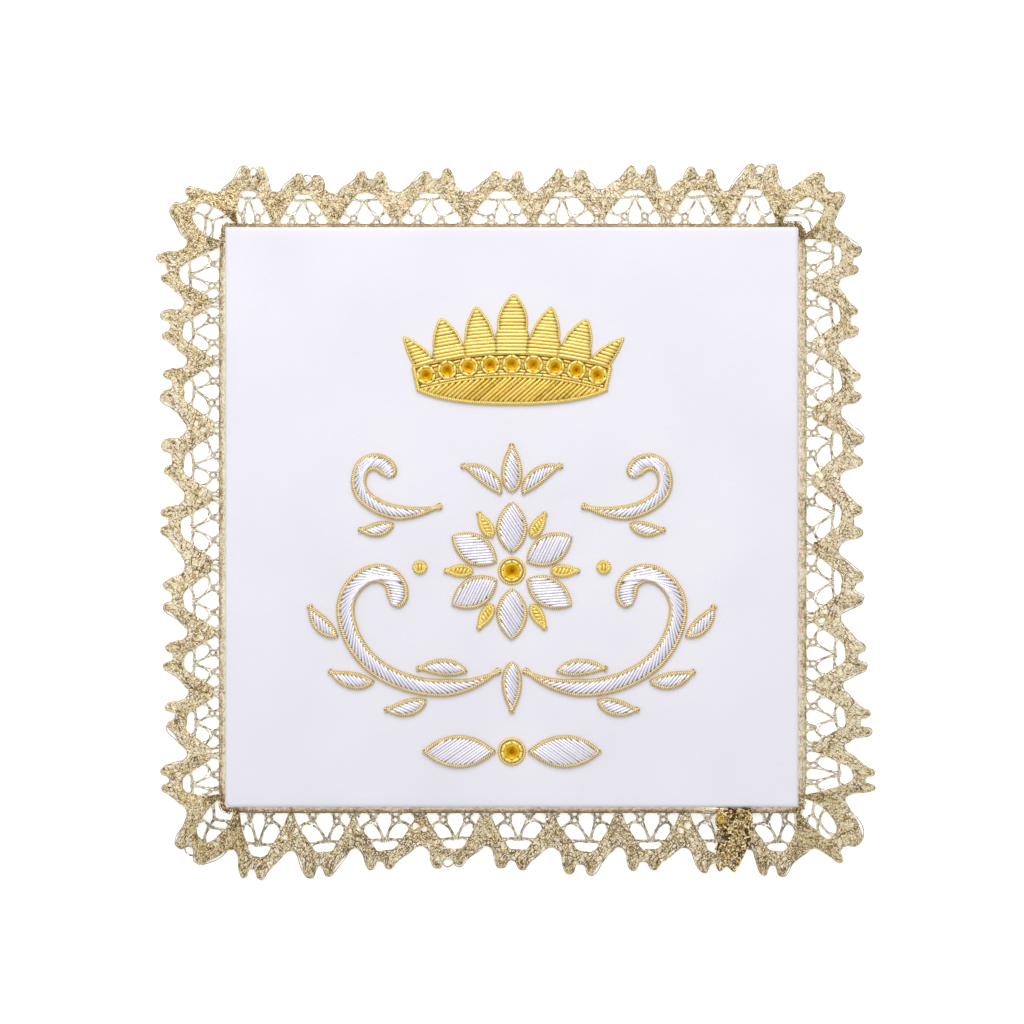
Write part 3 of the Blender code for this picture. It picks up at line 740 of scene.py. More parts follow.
def unit_marks(radius, at_foot):
    """Path distances of the valleys and middles in turn, at the tips or at the foot."""
    rows, bottom_middle = unit_rows(radius)
    marks = [bottom_middle + LAP_EDGE - path_length(radius)]
    for row, after in zip(rows, rows[1:] + [None]):
        corner = row.corner
        if corner is None:
            marks.append(row.place + LAG)
        elif at_foot:
            marks.append(row.place + (corner.foot_after - corner.foot_before) / 2)
        else:
            marks.append(row.place + corner.middle)
        if after is None:
            marks.append(bottom_middle + LAST_END)
        elif after.corner is not None:
            marks.append(after.place - (after.corner.foot_before if at_foot else after.corner.before))
        elif corner is not None:
            marks.append(row.place + (corner.foot_after if at_foot else corner.after))
        else:
            marks.append((row.place + after.place) / 2 + LAG)
    return np.array(marks)


ROWS = unit_rows(PATH_CORNER)[0]
UNITS = len(ROWS)
HALF_UNIT = LACE_UNIT / 2
STRIP = UNITS * LACE_UNIT
FOOT_MARKS = unit_marks(PATH_CORNER, True)
TIP_MARKS = unit_marks(TIP_RADIUS, False)
IS_CORNER = np.array([row.corner is not None for row in ROWS])
CORNER_NUMBERS = np.nonzero(IS_CORNER)[0]
REACHES = np.array([row.reach for row in ROWS])
BRAID_WIDTHS = np.array([row.side.braid for row in ROWS])
# the braid is drawn in at the corners, to less than it is on the sides that meet there
BRAID_WIDTHS[IS_CORNER] = (BRAID_WIDTHS[IS_CORNER] + BRAID_WIDTHS[CORNER_NUMBERS - 1]) * 0.36
# the trail's painted light and shade for each repeat: its side's, or its corner's
SHADES = np.array([row.side.trail_shade for row in ROWS])
SHADES[IS_CORNER] = CORNER_SHADES
# how much higher and farther on each of a repeat's two tips is than usual
TIP_GROW = np.clip(rng.normal(0, 0.34, (UNITS, 2)), -0.7, 0.6)
TIP_LEAN = np.clip(rng.normal(0, 0.3, (UNITS, 2)), -0.5, 0.5) - np.where(IS_CORNER, 0.0, LAG)[:, None]
# the last tip by the lap is a low one
TIP_GROW[-1, 1] = -1.3
# tips are pulled higher and dragged along from these heights on, more and more over these
PULL_FROM, PULL_OVER = 10.6, 4.0
DRAG_FROM, DRAG_OVER = 9.4, 3.2
# one tip's share gives way to the other's over this distance, and both fade out by the valley's edge
TIP_FADE = 4.4
VALLEY_EDGE = 8.6
# where along the path the strip starts to lie on its first end
LAP_PLACE = FOOT_MARKS[-1] - LAST_END + LAP_START
WAVE = 0.25


def stirred(number, local, v):
    """How far points of a repeat are moved up and on, as each pair of tips is a little different."""
    middling = np.clip((VALLEY_EDGE - np.abs(local)) / TIP_FADE, 0, 1)
    pull = np.clip((v - PULL_FROM) / PULL_OVER, 0, 1.1) * middling
    drag = np.clip((v - DRAG_FROM) / DRAG_OVER, 0, 1) * middling
    right = np.clip(local / TIP_FADE + 0.5, 0, 1)
    grow, lean = (table[number, 0] * (1 - right) + table[number, 1] * right for table in (TIP_GROW, TIP_LEAN))
    return pull * grow, drag * lean


def lace_level(foot, out, whole, number):
    """Heights over the table: the strip sinks towards its tips in slight waves, and climbs at the lap."""
    rise = np.clip(out / LACE_REACH, 0, 1)
    calm = np.clip(np.minimum(whole - 1.0, UNITS - 1.5 - whole), 0, 1)
    wave = WAVE * (1 + np.sin(2.3 * number + 2 * np.pi * (whole - number))) * rise * calm
    level = LACE_FOOT_Z + (LACE_TIP_Z - LACE_FOOT_Z) * rise**0.8 + wave
    return level + LAP_RISE * np.clip((foot - LAP_PLACE + LAP_RAMP) / (LAP_RAMP - 1.1), 0, 1)


def lace_place(unit, s, v, z=0.0):
    """Points of the strip from a unit's number, the distance s from its middle and the height v on it.

    s and v are sizes in a unit of the usual width and reach. v = 0 is the footing, with the braid below it.
    """
    s = np.asarray(s, float)
    v = np.broadcast_to(np.asarray(v, float), s.shape)
    whole = unit + 0.5 + s / LACE_UNIT
    index = np.clip(whole, 0, UNITS - 1e-6)
    number = index.astype(int)
    up, on = stirred(number, (index - number - 0.5) * LACE_UNIT, v)
    v = v + up
    whole = whole + on / LACE_UNIT
    beyond = np.where(whole < 0, whole * LACE_UNIT, np.where(whole > UNITS, (whole - UNITS) * LACE_UNIT, 0.0))
    marks = np.arange(2 * UNITS + 1) / 2
    tip = np.interp(whole, marks, TIP_MARKS) + beyond
    foot = np.interp(whole, marks, FOOT_MARKS) + beyond
    centres = np.arange(UNITS) + 0.5
    reach = np.interp(index, centres, REACHES)
    braid = np.interp(index, centres, BRAID_WIDTHS)
    share = np.maximum(v, 0) / LACE_RISE
    out = np.where(v < 0, braid * (1 + v / 2.0), braid + share * (reach - braid))
    foot_x, foot_y, foot_angle = path_point(foot, PATH_CORNER)
    tip_x, tip_y, tip_angle = path_point(tip, TIP_RADIUS)
    low = np.where(v < 0, out, braid)
    foot_x, foot_y = foot_x + np.cos(foot_angle) * low, foot_y + np.sin(foot_angle) * low
    tip_x, tip_y = tip_x + np.cos(tip_angle) * reach, tip_y + np.sin(tip_angle) * reach
    sway = 0.16 * np.sin(foot * 0.61 + 1.1) + 0.12 * np.sin(foot * 1.37 + v)
    sway = sway * np.clip(out / LACE_REACH, 0, 1)
    x = foot_x + (tip_x - foot_x) * share + np.cos(tip_angle) * sway
    y = foot_y + (tip_y - foot_y) * share + np.sin(tip_angle) * sway
    return np.stack([x, y, lace_level(foot, out, whole, number) + z], -1)


# the lace: outlines of the trail in one repeat
def rounded(points, times=2):
    """A broken line with its corners cut off."""
    points = np.asarray(points, float)
    for _ in range(times):
        near, far = points[:-1], points[1:]
        cut = np.stack([near * 0.75 + far * 0.25, near * 0.25 + far * 0.75], 1).reshape(-1, 2)
        points = np.vstack([points[:1], cut, points[-1:]])
    return points


# half the outer edge, as (distance from the middle, height): saddle, tip, arm and valley
OUTER = rounded([
    (0.0, 12.75), (0.9, 12.75), (1.3, 13.1), (1.6, 14.1), (2.0, 14.9), (2.8, 15.15), (3.6, 14.9), (4.1, 13.9),
    (5.0, 12.4), (6.1, 10.8), (7.2, 9.6), (8.1, 8.95), (9.05, 8.8),
])
# half the fan's opening, from its top down to the footing
FAN = rounded([
    (0.0, 9.8), (1.6, 9.8), (2.7, 9.2), (3.4, 8.3), (4.1, 7.1), (5.0, 5.8), (5.9, 4.6), (6.6, 3.4),
    (7.15, 2.4), (7.6, 1.4), (7.9, 0.6), (8.0, 0.0),
])
FAN_TOP = 9.8
CORNER_FAN_TOP = 9.6
# the fans of the top side are lower, and the first one, by the lap, is wider
TOP_SIDE_DROP = 0.7
FIRST_FAN_SCALE = 1.1
LEVEL_STEP = 0.05
LEVELS = np.arange(0, 12.05, LEVEL_STEP)
FAN_TOPS = np.where(IS_CORNER, CORNER_FAN_TOP, FAN_TOP + rng.normal(0, 0.2, UNITS))
FAN_TOPS[np.array([row.side is SIDES["top"] for row in ROWS])] -= TOP_SIDE_DROP
FAN_SCALES = np.where(IS_CORNER, 1.0, 1 + rng.normal(0, 0.03, UNITS))
FAN_SCALES[IS_CORNER] = CORNER_SCALES
FAN_SCALES[0] = FIRST_FAN_SCALE
# the feet between the repeats: up to what height each is closed, how much wider it is and how high its valley
FOOT_LEVELS = np.array([rng.uniform(*row.side.feet) for row in [*ROWS, ROWS[-1]]])
FOOT_WIDTHS = rng.uniform(-0.7, 0.3, UNITS + 1)
VALLEYS = rng.normal(0, 0.25, UNITS + 1)
BY_CORNER = np.concatenate([[False], IS_CORNER]) | np.concatenate([IS_CORNER, [False]])
FOOT_LEVELS[BY_CORNER] = -0.6
FOOT_WIDTHS[BY_CORNER] = 0.1
FOOT_LEVELS[0] = -0.6
FOOT_WIDTHS[:2] = -0.9, -0.1
OPEN_FEET = (rng.random(UNITS + 1) < 0.55) & ~BY_CORNER
# a foot's extra width starts at this height and is full this far below it, and a foot closes over the last
FOOT_HEIGHT = 7.0
FOOT_FADE = 4.0
CLOSING = 0.7


def fan_table():
    """Half the opening's width for each repeat, side and level."""
    table = np.zeros((UNITS, 2, len(LEVELS)))
    for unit in range(UNITS):
        for side in (0, 1):
            foot = unit + side
            scaled = LEVELS * FAN_TOP / FAN_TOPS[unit]
            width = np.interp(scaled, FAN[::-1, 1], FAN[::-1, 0], right=0.0) * FAN_SCALES[unit]
            width -= FOOT_WIDTHS[foot] * np.clip((FOOT_HEIGHT - LEVELS) / FOOT_FADE, 0, 1)
            width = np.maximum(width, 0)
            closing = np.clip((FOOT_LEVELS[foot] + CLOSING - LEVELS) / CLOSING, 0, 1) ** 1.6
            table[unit, side] = width + (HALF_UNIT - width) * closing
    return table


FAN_TABLE = fan_table()
# the valleys' own heights come in from this distance on, over this one
VALLEY_FROM = 6.0
VALLEY_OVER = 3.0


def outer_edge(unit, s):
    """The height of the trail's outer edge over the footing. Each valley is a little higher or lower."""
    near = np.abs(s)
    foot = unit + (np.asarray(s) > 0)
    edge = np.interp(near, OUTER[:, 0], OUTER[:, 1])
    return edge + VALLEYS[foot] * np.clip((near - VALLEY_FROM) / VALLEY_OVER, 0, 1)


def fan_point(unit, side, level):
    """The point of a fan's edge at a height, on the left for side -1 or on the right for 1."""
    return side * float(np.interp(level, LEVELS, FAN_TABLE[unit, int(side > 0)])), level


# the outer edge of the oversewn lap, as (distance from where it ends, height)
LAP_TOP = np.array([
    (-9.3, 12.6), (-8.6, 13.7), (-7.9, 14.3), (-6.9, 13.2), (-6.0, 12.8), (-5.0, 13.6),
    (-4.2, 14.2), (-3.2, 13.4), (-2.0, 11.4), (-0.9, 9.0), (0.0, 8.0), (1.0, 8.6),
])


def lap_ceiling(strip):
    return np.interp(strip, LAP_TOP[:, 0], LAP_TOP[:, 1])


def units_of(strip):
    """The repeats that distances along the strip are in, and the distances from those repeats' middles."""
    unit = np.clip((strip / LACE_UNIT).astype(int), 0, UNITS - 1)
    return unit, strip - (unit + 0.5) * LACE_UNIT


# how far inside the trail's edges its threads end: at the fans, at the tips, at the lap and at the footing
FAN_CLEARANCE = 0.08
TIP_CLEARANCE = 0.12
LAP_CLEARANCE = 0.1
FOOT_CLEARANCE = 0.05


def in_trail(strip, v):
    """Whether points are on the trail's cloth. strip is the distance from the strip's start."""
    unit, s = units_of(strip)
    level = np.clip((v / LEVEL_STEP).astype(int), 0, len(LEVELS) - 1)
    fan = FAN_TABLE[unit, (s > 0).astype(int), level]
    beside_fan = (fan == 0) | (np.abs(s) > fan + FAN_CLEARANCE)
    on_band = beside_fan & (v < outer_edge(unit, s) - TIP_CLEARANCE)
    on_lap = v < lap_ceiling(strip) - LAP_CLEARANCE
    # the oversewn end is a little uneven
    lap_start = 0.4 * np.sin(v * 1.9) - LAP_SPAN
    return (v > FOOT_CLEARANCE) & (strip > lap_start) & (strip < STRIP) & np.where(strip < 0, on_lap, on_band)


# the lace: threads
def painted_glints(count, run=1.2):
    """Painted light and dark along a foil thread, which twists as it goes: now and then a painted flash or a
    dark turn.
    """
    knots = max(2, int(count / run) + 2)
    turns = np.clip(rng.standard_t(3, knots) * 0.5, -1.9, 1.9)
    return 0.5 + np.interp(np.linspace(0, knots - 1, count), np.arange(knots), turns)


def foil(bag, points, radius=0.17, sides=3, dark=0.0, flash=1.0):
    """A foil thread, darker by dark than usual. flash is how strongly its painted glints go from light to
    dark.
    """
    tone = np.repeat(0.5 + (painted_glints(len(points)) - 0.5) * flash - dark, sides)
    bag.tube(points, radius, sides, tone=np.concatenate([tone, tone[:1], tone[-1:]]))


# a bar's strands part at its ends over its length divided by this, and rise and fall this far as they cross
WEB_PARTS = 2.8
PLAIT_RISE = 0.07


def ribbon(bag, path, radius, apart, ends=(0.0, 0.0), dark=0.0, sides=5):
    """A plaited bar: two strands side by side that part at its ends, like a web, where it meets others."""
    path = resample(path, 0.42)
    side = level_sides(unit_vectors(np.gradient(path, axis=0)))
    t = np.linspace(0, 1, len(path))
    near, far = (np.clip(1 - share * WEB_PARTS, 0, 1) ** 1.5 for share in (t, 1 - t))
    spread = apart + ends[0] * near + ends[1] * far
    weave = PLAIT_RISE * np.where(np.arange(len(path)) % 2 == 0, 1, -1)
    for k in (-1, 1):
        strand = path + side * (k * spread)[:, None]
        strand[:, 2] += k * weave
        foil(bag, strand, radius, sides, dark)


def bow(a, b, sag, steps=8):
    """A shallow curve between two points of the strip's own plane, bowed to one side."""
    a, b = np.array(a, float), np.array(b, float)
    t = np.linspace(0, 1, steps)[:, None]
    across = np.array([-(b - a)[1], (b - a)[0]])
    across /= np.linalg.norm(across) + 1e-9
    return a + (b - a) * t + across * (sag * 4 * t * (1 - t))


# small openings by a repeat's tips: how often, how far from its middle, at what height and of what size
TIP_OPENINGS = (
    (0.55, (2.2, 3.4), (12.2, 13.6), (0.2, 0.42)),
    (0.5, (4.6, 6.4), (8.0, 10.4), (0.15, 0.35)),
)


def openings():
    """Small roundish openings that the threads part round, in some of the feet and by some of the tips."""
    found = []
    for foot in range(1, UNITS):
        middle = foot * LACE_UNIT
        if OPEN_FEET[foot]:
            first = rng.uniform(3.6, 4.8)
            side = rng.choice((-1, 1))
            found.append((middle + side * rng.uniform(0.7, 1.4), first, rng.uniform(0.6, 0.9)))
            beside = middle - side * rng.uniform(0.9, 1.7)
            found.append((beside, first + rng.uniform(0.6, 2.0), rng.uniform(0.45, 0.8)))
            found.append((middle + rng.uniform(-0.6, 0.6), rng.uniform(1.4, 2.4), rng.uniform(0.3, 0.5)))
            if rng.random() < 0.6:
                above = middle + side * rng.uniform(0.8, 2.0)
                found.append((above, rng.uniform(6.4, 7.8), rng.uniform(0.35, 0.6)))
        elif rng.random() < 0.5:
            found.append((middle + rng.uniform(-0.9, 0.9), rng.uniform(5.0, 7.5), rng.uniform(0.25, 0.5)))
    for unit in range(UNITS):
        middle = (unit + 0.5) * LACE_UNIT
        for side in (-1, 1):
            for chance, off, heights, sizes in TIP_OPENINGS:
                if rng.random() < chance:
                    place = middle + side * rng.uniform(*off)
                    found.append((place, rng.uniform(*heights), rng.uniform(*sizes)))
    return found


OPENINGS = openings()
# how far round an opening its threads are pushed off, in its own sizes
OPENING_REACH = 2.4
# the sets of threads in the net: slant in degrees, distance apart, radius and height in the cloth
Threads = namedtuple("Threads", "slant pitch radius layer")
NET_THREADS = Threads(54, 0.62, 0.192, 0.0)
WEAVER_THREADS = Threads(126, 0.62, 0.192, 0.05)
CORE_THREADS = Threads(17, 0.85, 0.19, 0.12)
CORNER_THREADS = (Threads(38, 0.66, 0.18, 0.08), Threads(142, 0.66, 0.18, -0.08), Threads(88, 0.8, 0.18, 0.0))
# how high the threads run up, how closely they are tested against the edges, and how closely they are drawn
THREAD_RISE = 15.3
THREAD_SAMPLE = 0.1
THREAD_STEP = 0.52
# how far they waver sideways, and rise and fall from point to point
THREAD_WAVER = 0.17
THREAD_LIFT = 0.1
# the core's threads stop this far inside the outer edge, which counts as no higher than this
CORE_OFF_EDGE = 1.2
CORE_TOP = 12.6
# the threads added at the corners lie over this height and within this distance of the corner
CORNER_FLOOR = 4.5
CORNER_SPAN = 13.5


def thread_lines(threads):
    """Wavering lines side by side at a slant over the strip: rows of distances along it, and heights."""
    angle = math.radians(threads.slant)
    run = THREAD_RISE / math.sin(angle)
    shift = run * math.cos(angle)
    count = int((STRIP + LAP_SPAN + abs(shift)) * math.sin(angle) / threads.pitch)
    starts = np.linspace(-LAP_SPAN - max(shift, 0), STRIP - min(shift, 0), count)[:, None]
    starts = starts + rng.normal(0, 0.1, (count, 1))
    t = np.arange(0, run, THREAD_SAMPLE)
    phase = rng.uniform(0, 2 * math.pi, (count, 1))
    rate = rng.uniform(1.4, 2.6, (count, 1))
    sway = THREAD_WAVER * (np.sin(t * rate + phase) + 0.6 * np.sin(t * rate * 2.4 + 2.1 * phase))
    strip = starts + t * math.cos(angle) - math.sin(angle) * sway
    return strip, t * math.sin(angle) + math.cos(angle) * sway


def inside_parts(strip, v, inside):
    """The parts of the lines that are inside, with fewer points."""
    kept = []
    for row, here in enumerate(inside):
        flags = np.concatenate([[False], here, [False]])
        turns = np.nonzero(flags[1:] != flags[:-1])[0]
        for first, last in zip(turns[::2], turns[1::2] - 1):
            if last - first < 5:
                continue
            count = max(2, round((last - first) * THREAD_SAMPLE / THREAD_STEP) + 1)
            places = np.linspace(first, last, count).round().astype(int)
            kept.append((strip[row, places], v[row, places]))
    return kept


def part_round_openings(along, level):
    """Push the points that are near an opening away from its middle."""
    for middle, height, size in OPENINGS:
        reach = OPENING_REACH * size
        near = np.nonzero(np.abs(along - middle) < reach)[0]
        ds, dv = along[near] - middle, level[near] - height
        far = np.hypot(ds, dv) + 1e-6
        push = np.where(far < reach, size * (1 - far / reach), 0)
        along[near] += ds / far * push
        level[near] += dv / far * push


def slanting_threads(bag, threads, at_corners=False, in_core=False):
    """One set of the net's threads, side by side at a slant to the strip and ending at the trail's edges."""
    strip, v = thread_lines(threads)
    inside = in_trail(strip, v)
    if in_core:
        inside &= v < np.minimum(outer_edge(*units_of(strip)), CORE_TOP) - CORE_OFF_EDGE
    if at_corners:
        centres = (CORNER_NUMBERS + 0.5) * LACE_UNIT
        inside &= (v > CORNER_FLOOR) & (np.abs(strip[..., None] - centres).min(-1) < CORNER_SPAN)
    kept = inside_parts(strip, v, inside)
    along = np.concatenate([part[0] for part in kept])
    level = np.concatenate([part[1] for part in kept])
    part_round_openings(along, level)
    z = threads.layer + THREAD_LIFT * np.where(np.arange(len(along)) % 2 == 0, 1, -1)
    points = lace_place(0, along - HALF_UNIT, level, z)
    shades = SHADES[units_of(along)[0]]
    ends = np.cumsum([len(part[0]) for part in kept])[:-1]
    for part, shade in zip(np.split(points, ends), np.split(shades, ends)):
        foil(bag, part, threads.radius, dark=shade.mean())


# the threads that turn round inside each tip
TIP_MIDDLE_S = 2.85
TIP_ARC_FOOT = 11.9
TIP_ARC_TOP = 14.75


def make_trail():
    """The band that zigzags from the footing to the tips: half stitch, whose threads cross at a slant."""
    net, weaver, filling, core = Bag(), Bag(), Bag(), Bag()
    slanting_threads(net, NET_THREADS)
    slanting_threads(weaver, WEAVER_THREADS)
    slanting_threads(core, CORE_THREADS, in_core=True)
    for threads in CORNER_THREADS:
        slanting_threads(filling, threads, at_corners=True)
    t = np.linspace(-1, 1, 15)
    for unit in range(UNITS):
        for side in (-1, 1):
            for k in range(3):
                middle = side * TIP_MIDDLE_S + rng.uniform(-0.1, 0.1)
                half = 1.35 - 0.32 * k
                v = TIP_ARC_FOOT + (TIP_ARC_TOP - 0.45 * k - TIP_ARC_FOOT) * (1 - np.abs(t) ** 3)
                arc = lace_place(unit, middle + half * t, v, rng.uniform(-0.05, 0.16))
                foil(filling, arc, dark=SHADES[unit])
    return net, weaver, filling, core


EDGE_RADIUS = 0.14
STRAY_RADIUS = 0.15
STRAY_CHANCE = 0.4
LOOP_CHANCE = 0.16


def stray_edge(bag, unit, side, s, v):
    """An outer thread that stands off the trail."""
    here = side * s > 0.6
    near = np.abs(s[here])
    off = rng.uniform(0.25, 0.5) + 0.2 * np.sin(near * 1.3 + rng.uniform(0, 6))
    off = np.maximum(off, 0.05) * np.clip((9.05 - near) / 1.5, 0, 1)
    wide = near + np.clip((near - 3.0) / 1.2, -0.5, 1) * off * np.clip((8.4 - near) / 2, 0, 1)
    foil(bag, lace_place(unit, side * wide, v[here] + off * 0.7), STRAY_RADIUS, dark=0.5)


def loose_loop(bag, unit):
    """A loose thread that loops from tip to tip."""
    t = np.linspace(-1, 1, 16)
    loop = 13.7 + 1.3 * (1 - t**2)
    for drop, dark in ((0.0, 0.4), (0.28, 0.0)):
        foil(bag, lace_place(unit, 1.7 * t, loop - drop, 0.05), STRAY_RADIUS, 4, dark)


def fan_line(unit):
    """The edge of a fan's opening, from the footing over its top and down again."""
    halves = []
    for side in (-1, 1):
        width = FAN_TABLE[unit, int(side > 0)]
        here = (width > 0) & (width < HALF_UNIT - 1e-6)
        line = np.stack([side * width[here], LEVELS[here]], 1)
        halves.append(line if side < 0 else line[::-1])
    return resample(np.vstack(halves), 0.45)


def make_edge():
    """The smooth threads along both edges of the trail."""
    bag = Bag()
    s = np.concatenate([-OUTER[::-1, 0], OUTER[1:, 0]])
    for unit in range(UNITS):
        v = outer_edge(unit, s)
        shade = ROWS[unit].side.edge_shade
        ribbon(bag, lace_place(unit, s, v, 0.06), EDGE_RADIUS, 0.12, dark=shade, sides=4)
        for side in (-1, 1):
            if rng.random() >= 1 - STRAY_CHANCE:
                stray_edge(bag, unit, side, s, v)
        if rng.random() < LOOP_CHANCE:
            loose_loop(bag, unit)
        line = fan_line(unit)
        path = lace_place(unit, line[:, 0], line[:, 1], 0.05)
        ribbon(bag, path, EDGE_RADIUS, 0.1, dark=shade + 0.05, sides=4)
    return bag


HUB_RADIUS = 0.18
RING_SIZES = (0.58, 0.82, 1.05)
RING_RADIUS = 0.16
BAR_APART = 0.18


def woven_knot(bag, unit, middle, width, height, passes):
    """A little lump of cloth stitch: one thread to and fro over the ends that meet there."""
    place = np.linspace(0, passes, passes * 4 + 1)
    zig = np.abs((place % 2) - 1) * 2 - 1
    level = place / passes * 2 - 1
    shape = np.sqrt(np.clip(1.15 - level**2, 0.1, 1))
    s = middle[0] + level * width / 2 + rng.normal(0, 0.04, len(place))
    v = middle[1] + zig * height / 2 * shape + rng.normal(0, 0.04, len(place))
    path = lace_place(unit, s, v, 0.1 * np.sin(place * 3.1))
    foil(bag, path, HUB_RADIUS, dark=ROWS[unit].side.bar_shade - 0.4)


def lozenge(bag, unit, middle, width, height):
    """A small ring of threads round an opening, where a leg of the net comes near the footing."""
    turn = np.linspace(0, 2 * math.pi, 19)
    square = 1 + 0.1 * np.cos(4 * turn)
    for size in RING_SIZES:
        s = middle[0] + size * width / 2 * np.cos(turn) * square + rng.normal(0, 0.03, len(turn))
        v = middle[1] + size * height / 2 * np.sin(turn) * square + rng.normal(0, 0.03, len(turn))
        foil(bag, lace_place(unit, s, v, 0.05), RING_RADIUS, dark=ROWS[unit].side.bar_shade)


def bride(bag, unit, a, b, sag, ends):
    """A bar of a fan between two points. ends is how far its strands part at each."""
    line = bow(a, b, sag)
    side = ROWS[unit].side
    ribbon(bag, lace_place(unit, line[:, 0], line[:, 1]), side.bar_radius, BAR_APART, ends, side.bar_shade)


def corner_fan(bag, unit):
    """The net of a repeat that turns round a corner: bars from a hub, as there is little room at its foot."""
    x, y = rng.uniform(-0.6, 0.6), rng.uniform(5.0, 5.6)
    left, right = rng.uniform(6.6, 7.4), rng.uniform(4.6, 5.4)
    low = rng.uniform(2.4, 2.9, 2)
    bride(bag, unit, fan_point(unit, -1, left), (x - 0.4, y + 0.1), -0.5, (0.3, 0.15))
    bride(bag, unit, (x + 0.4, y), fan_point(unit, 1, right), -0.4, (0.15, 0.3))
    bride(bag, unit, (x, y + 0.2), (rng.uniform(0.6, 1.6), FAN_TOPS[unit]), 0.4, (0.15, 0.3))
    # a bowed bar nearer the panel makes a small rounded opening under the hub
    bride(bag, unit, fan_point(unit, -1, low[0]), (x - 0.2, 3.3), -0.5, (0.3, 0.15))
    bride(bag, unit, (x - 0.2, 3.3), fan_point(unit, 1, low[1]), -0.5, (0.15, 0.3))
    bride(bag, unit, (x - 0.1, y - 0.2), (x - 0.2, 3.4), 0.0, (0.15, 0.15))
    woven_knot(bag, unit, (x, y), 1.6, 0.8, 8)


def straight_fan(bag, unit):
    """The fan's net: a bar with a woven hub, two legs down to the footing and bars out to the trail."""
    skew = rng.normal(0.1, 0.3)
    opened = rng.random(2) < (0.5, 0.75)

    def near(s, v, stray=0.2):
        return s + skew * (0.3 + 0.07 * v) + rng.normal(0, stray), v + rng.normal(0, stray * 0.8)

    x, y = near(0.1, 6.9)
    left = near(rng.uniform(-3.5, -2.7), 1.9)
    right = near(rng.uniform(2.7, 3.5), 1.9)
    bar = rng.uniform(7.2, 7.9, 2)
    bride(bag, unit, fan_point(unit, -1, bar[0]), (x - 0.7, y + 0.1), -0.2, (0.4, 0.2))
    bride(bag, unit, (x + 0.7, y + 0.1), fan_point(unit, 1, bar[1]), -0.2, (0.2, 0.4))
    bride(bag, unit, (x - 0.35, y - 0.1), (left[0] + 0.4, left[1] + 0.7), 0.25, (0.2, 0.35))
    bride(bag, unit, (x + 0.35, y - 0.1), (right[0] - 0.4, right[1] + 0.7), -0.25, (0.2, 0.35))
    for (s, v), side in ((left, -1), (right, 1)):
        end = fan_point(unit, side, rng.uniform(3.6, 4.5))
        bride(bag, unit, (s + side * 0.6, v + 0.4), end, -0.45 * side, (0.3, 0.45))
    for (s, v), is_open in zip((left, right), opened):
        for side in (-1, 1):
            bride(bag, unit, (s + side * 0.6, v - 0.5), (s + side * 1.25, 0.0), -0.1 * side, (0.1, 0.35))
        if is_open:
            lozenge(bag, unit, (s, v), 1.9, 1.9)
        else:
            woven_knot(bag, unit, (s, v - 0.3), 1.5, 1.6, 9)
    woven_knot(bag, unit, (x, y + 0.15), 2.3, 0.9, 9)


def make_brides():
    """The bars of the fans, and the pairs that join each foot of the trail to the footing."""
    bag = Bag()
    for unit in range(UNITS):
        if IS_CORNER[unit]:
            corner_fan(bag, unit)
            continue
        straight_fan(bag, unit)
        level = FOOT_LEVELS[unit]
        if level > 0.05 and unit > 0:
            for k in (-1, 0, 1):
                top = -HALF_UNIT + k * 0.9
                foot = -HALF_UNIT + k * rng.uniform(1.3, 1.8) + rng.normal(0, 0.15)
                bride(bag, unit, (top, level + 0.6), (foot, 0.0), rng.uniform(-0.15, 0.15), (0.35, 0.35))
    return bag


# the braid's rows, from the panel outward, the threads that zigzag over them, and the cords beside them
BRAID_ROWS = (-1.95, -1.5, -1.05, -0.6, -0.25)
BRAID_ROW_RADIUS = 0.25
ZIGZAG_START = -2.05
ZIGZAG_HEIGHT = 1.35
ZIGZAG_RADIUS = 0.2
# each cord's height over the footing, and how far it is lifted off the strip
FOOTING_CORDS = ((-0.35, 0.12), (-0.02, 0.05))
FOOTING_CORD_RADIUS = 0.2
LAST_END_CUT = 6.6


def make_footing():
    """The sewn-on braid along the panel's side, then the lace's own footing cord, darker partly as its own
    colour and partly as painted shade in the gap by the panel.
    """
    bag, cord = Bag(), Bag()
    spans = [(unit, -HALF_UNIT, HALF_UNIT) for unit in range(UNITS)]
    # the last end is turned in at the lap, and the first end runs on under it
    spans[-1] = (UNITS - 1, -HALF_UNIT, HALF_UNIT - LAST_END_CUT)
    spans.append((0, -HALF_UNIT - LAP_SPAN, -HALF_UNIT))
    bends = CORNER_NUMBERS[:, None] + 0.5
    for unit, start, end in spans:
        size = (end - start) / LACE_UNIT
        s_all = np.linspace(start, end, max(6, int(32 * size)))
        side = ROWS[unit].side

        def shade(s, v):
            """The braid's painted light and shade: it changes from the panel outward, and is darker where
            corners gather it.
            """
            gap = np.abs(unit + 0.5 + s / LACE_UNIT - bends).min(0)
            across = side.near_shade + (side.far_shade - side.near_shade) * (v + 2) / 1.75
            return across + 0.6 * np.clip((0.95 - gap) / 0.5, 0, 1)

        for v in BRAID_ROWS:
            waver = 0.06 * np.sin(s_all * 1.7 + unit * 2.1 + v * 5)
            row = lace_place(unit, s_all, v + waver, 0.08)
            foil(bag, row, BRAID_ROW_RADIUS, 4, shade(s_all, v) + rng.normal(0, 0.1), flash=0.5)
        for phase in (0.0, 0.5):
            passes = max(4, int(30 * size))
            place = np.linspace(0, passes, passes * 3 + 1)
            zig = np.abs(((place + phase) % 2) - 1)
            s = start + place / passes * (end - start)
            v = ZIGZAG_START + ZIGZAG_HEIGHT * zig + rng.normal(0, 0.05, len(place))
            row = lace_place(unit, s, v, 0.14 + 0.06 * np.cos(place * 6))
            foil(bag, row, ZIGZAG_RADIUS, dark=shade(s, v), flash=0.7)
        for v, lift in FOOTING_CORDS:
            line = v + 0.05 * np.sin(s_all * 2.3 + unit + v)
            foil(cord, lace_place(unit, s_all, line, lift), FOOTING_CORD_RADIUS, 4, side.cord_shade)
    return bag, cord


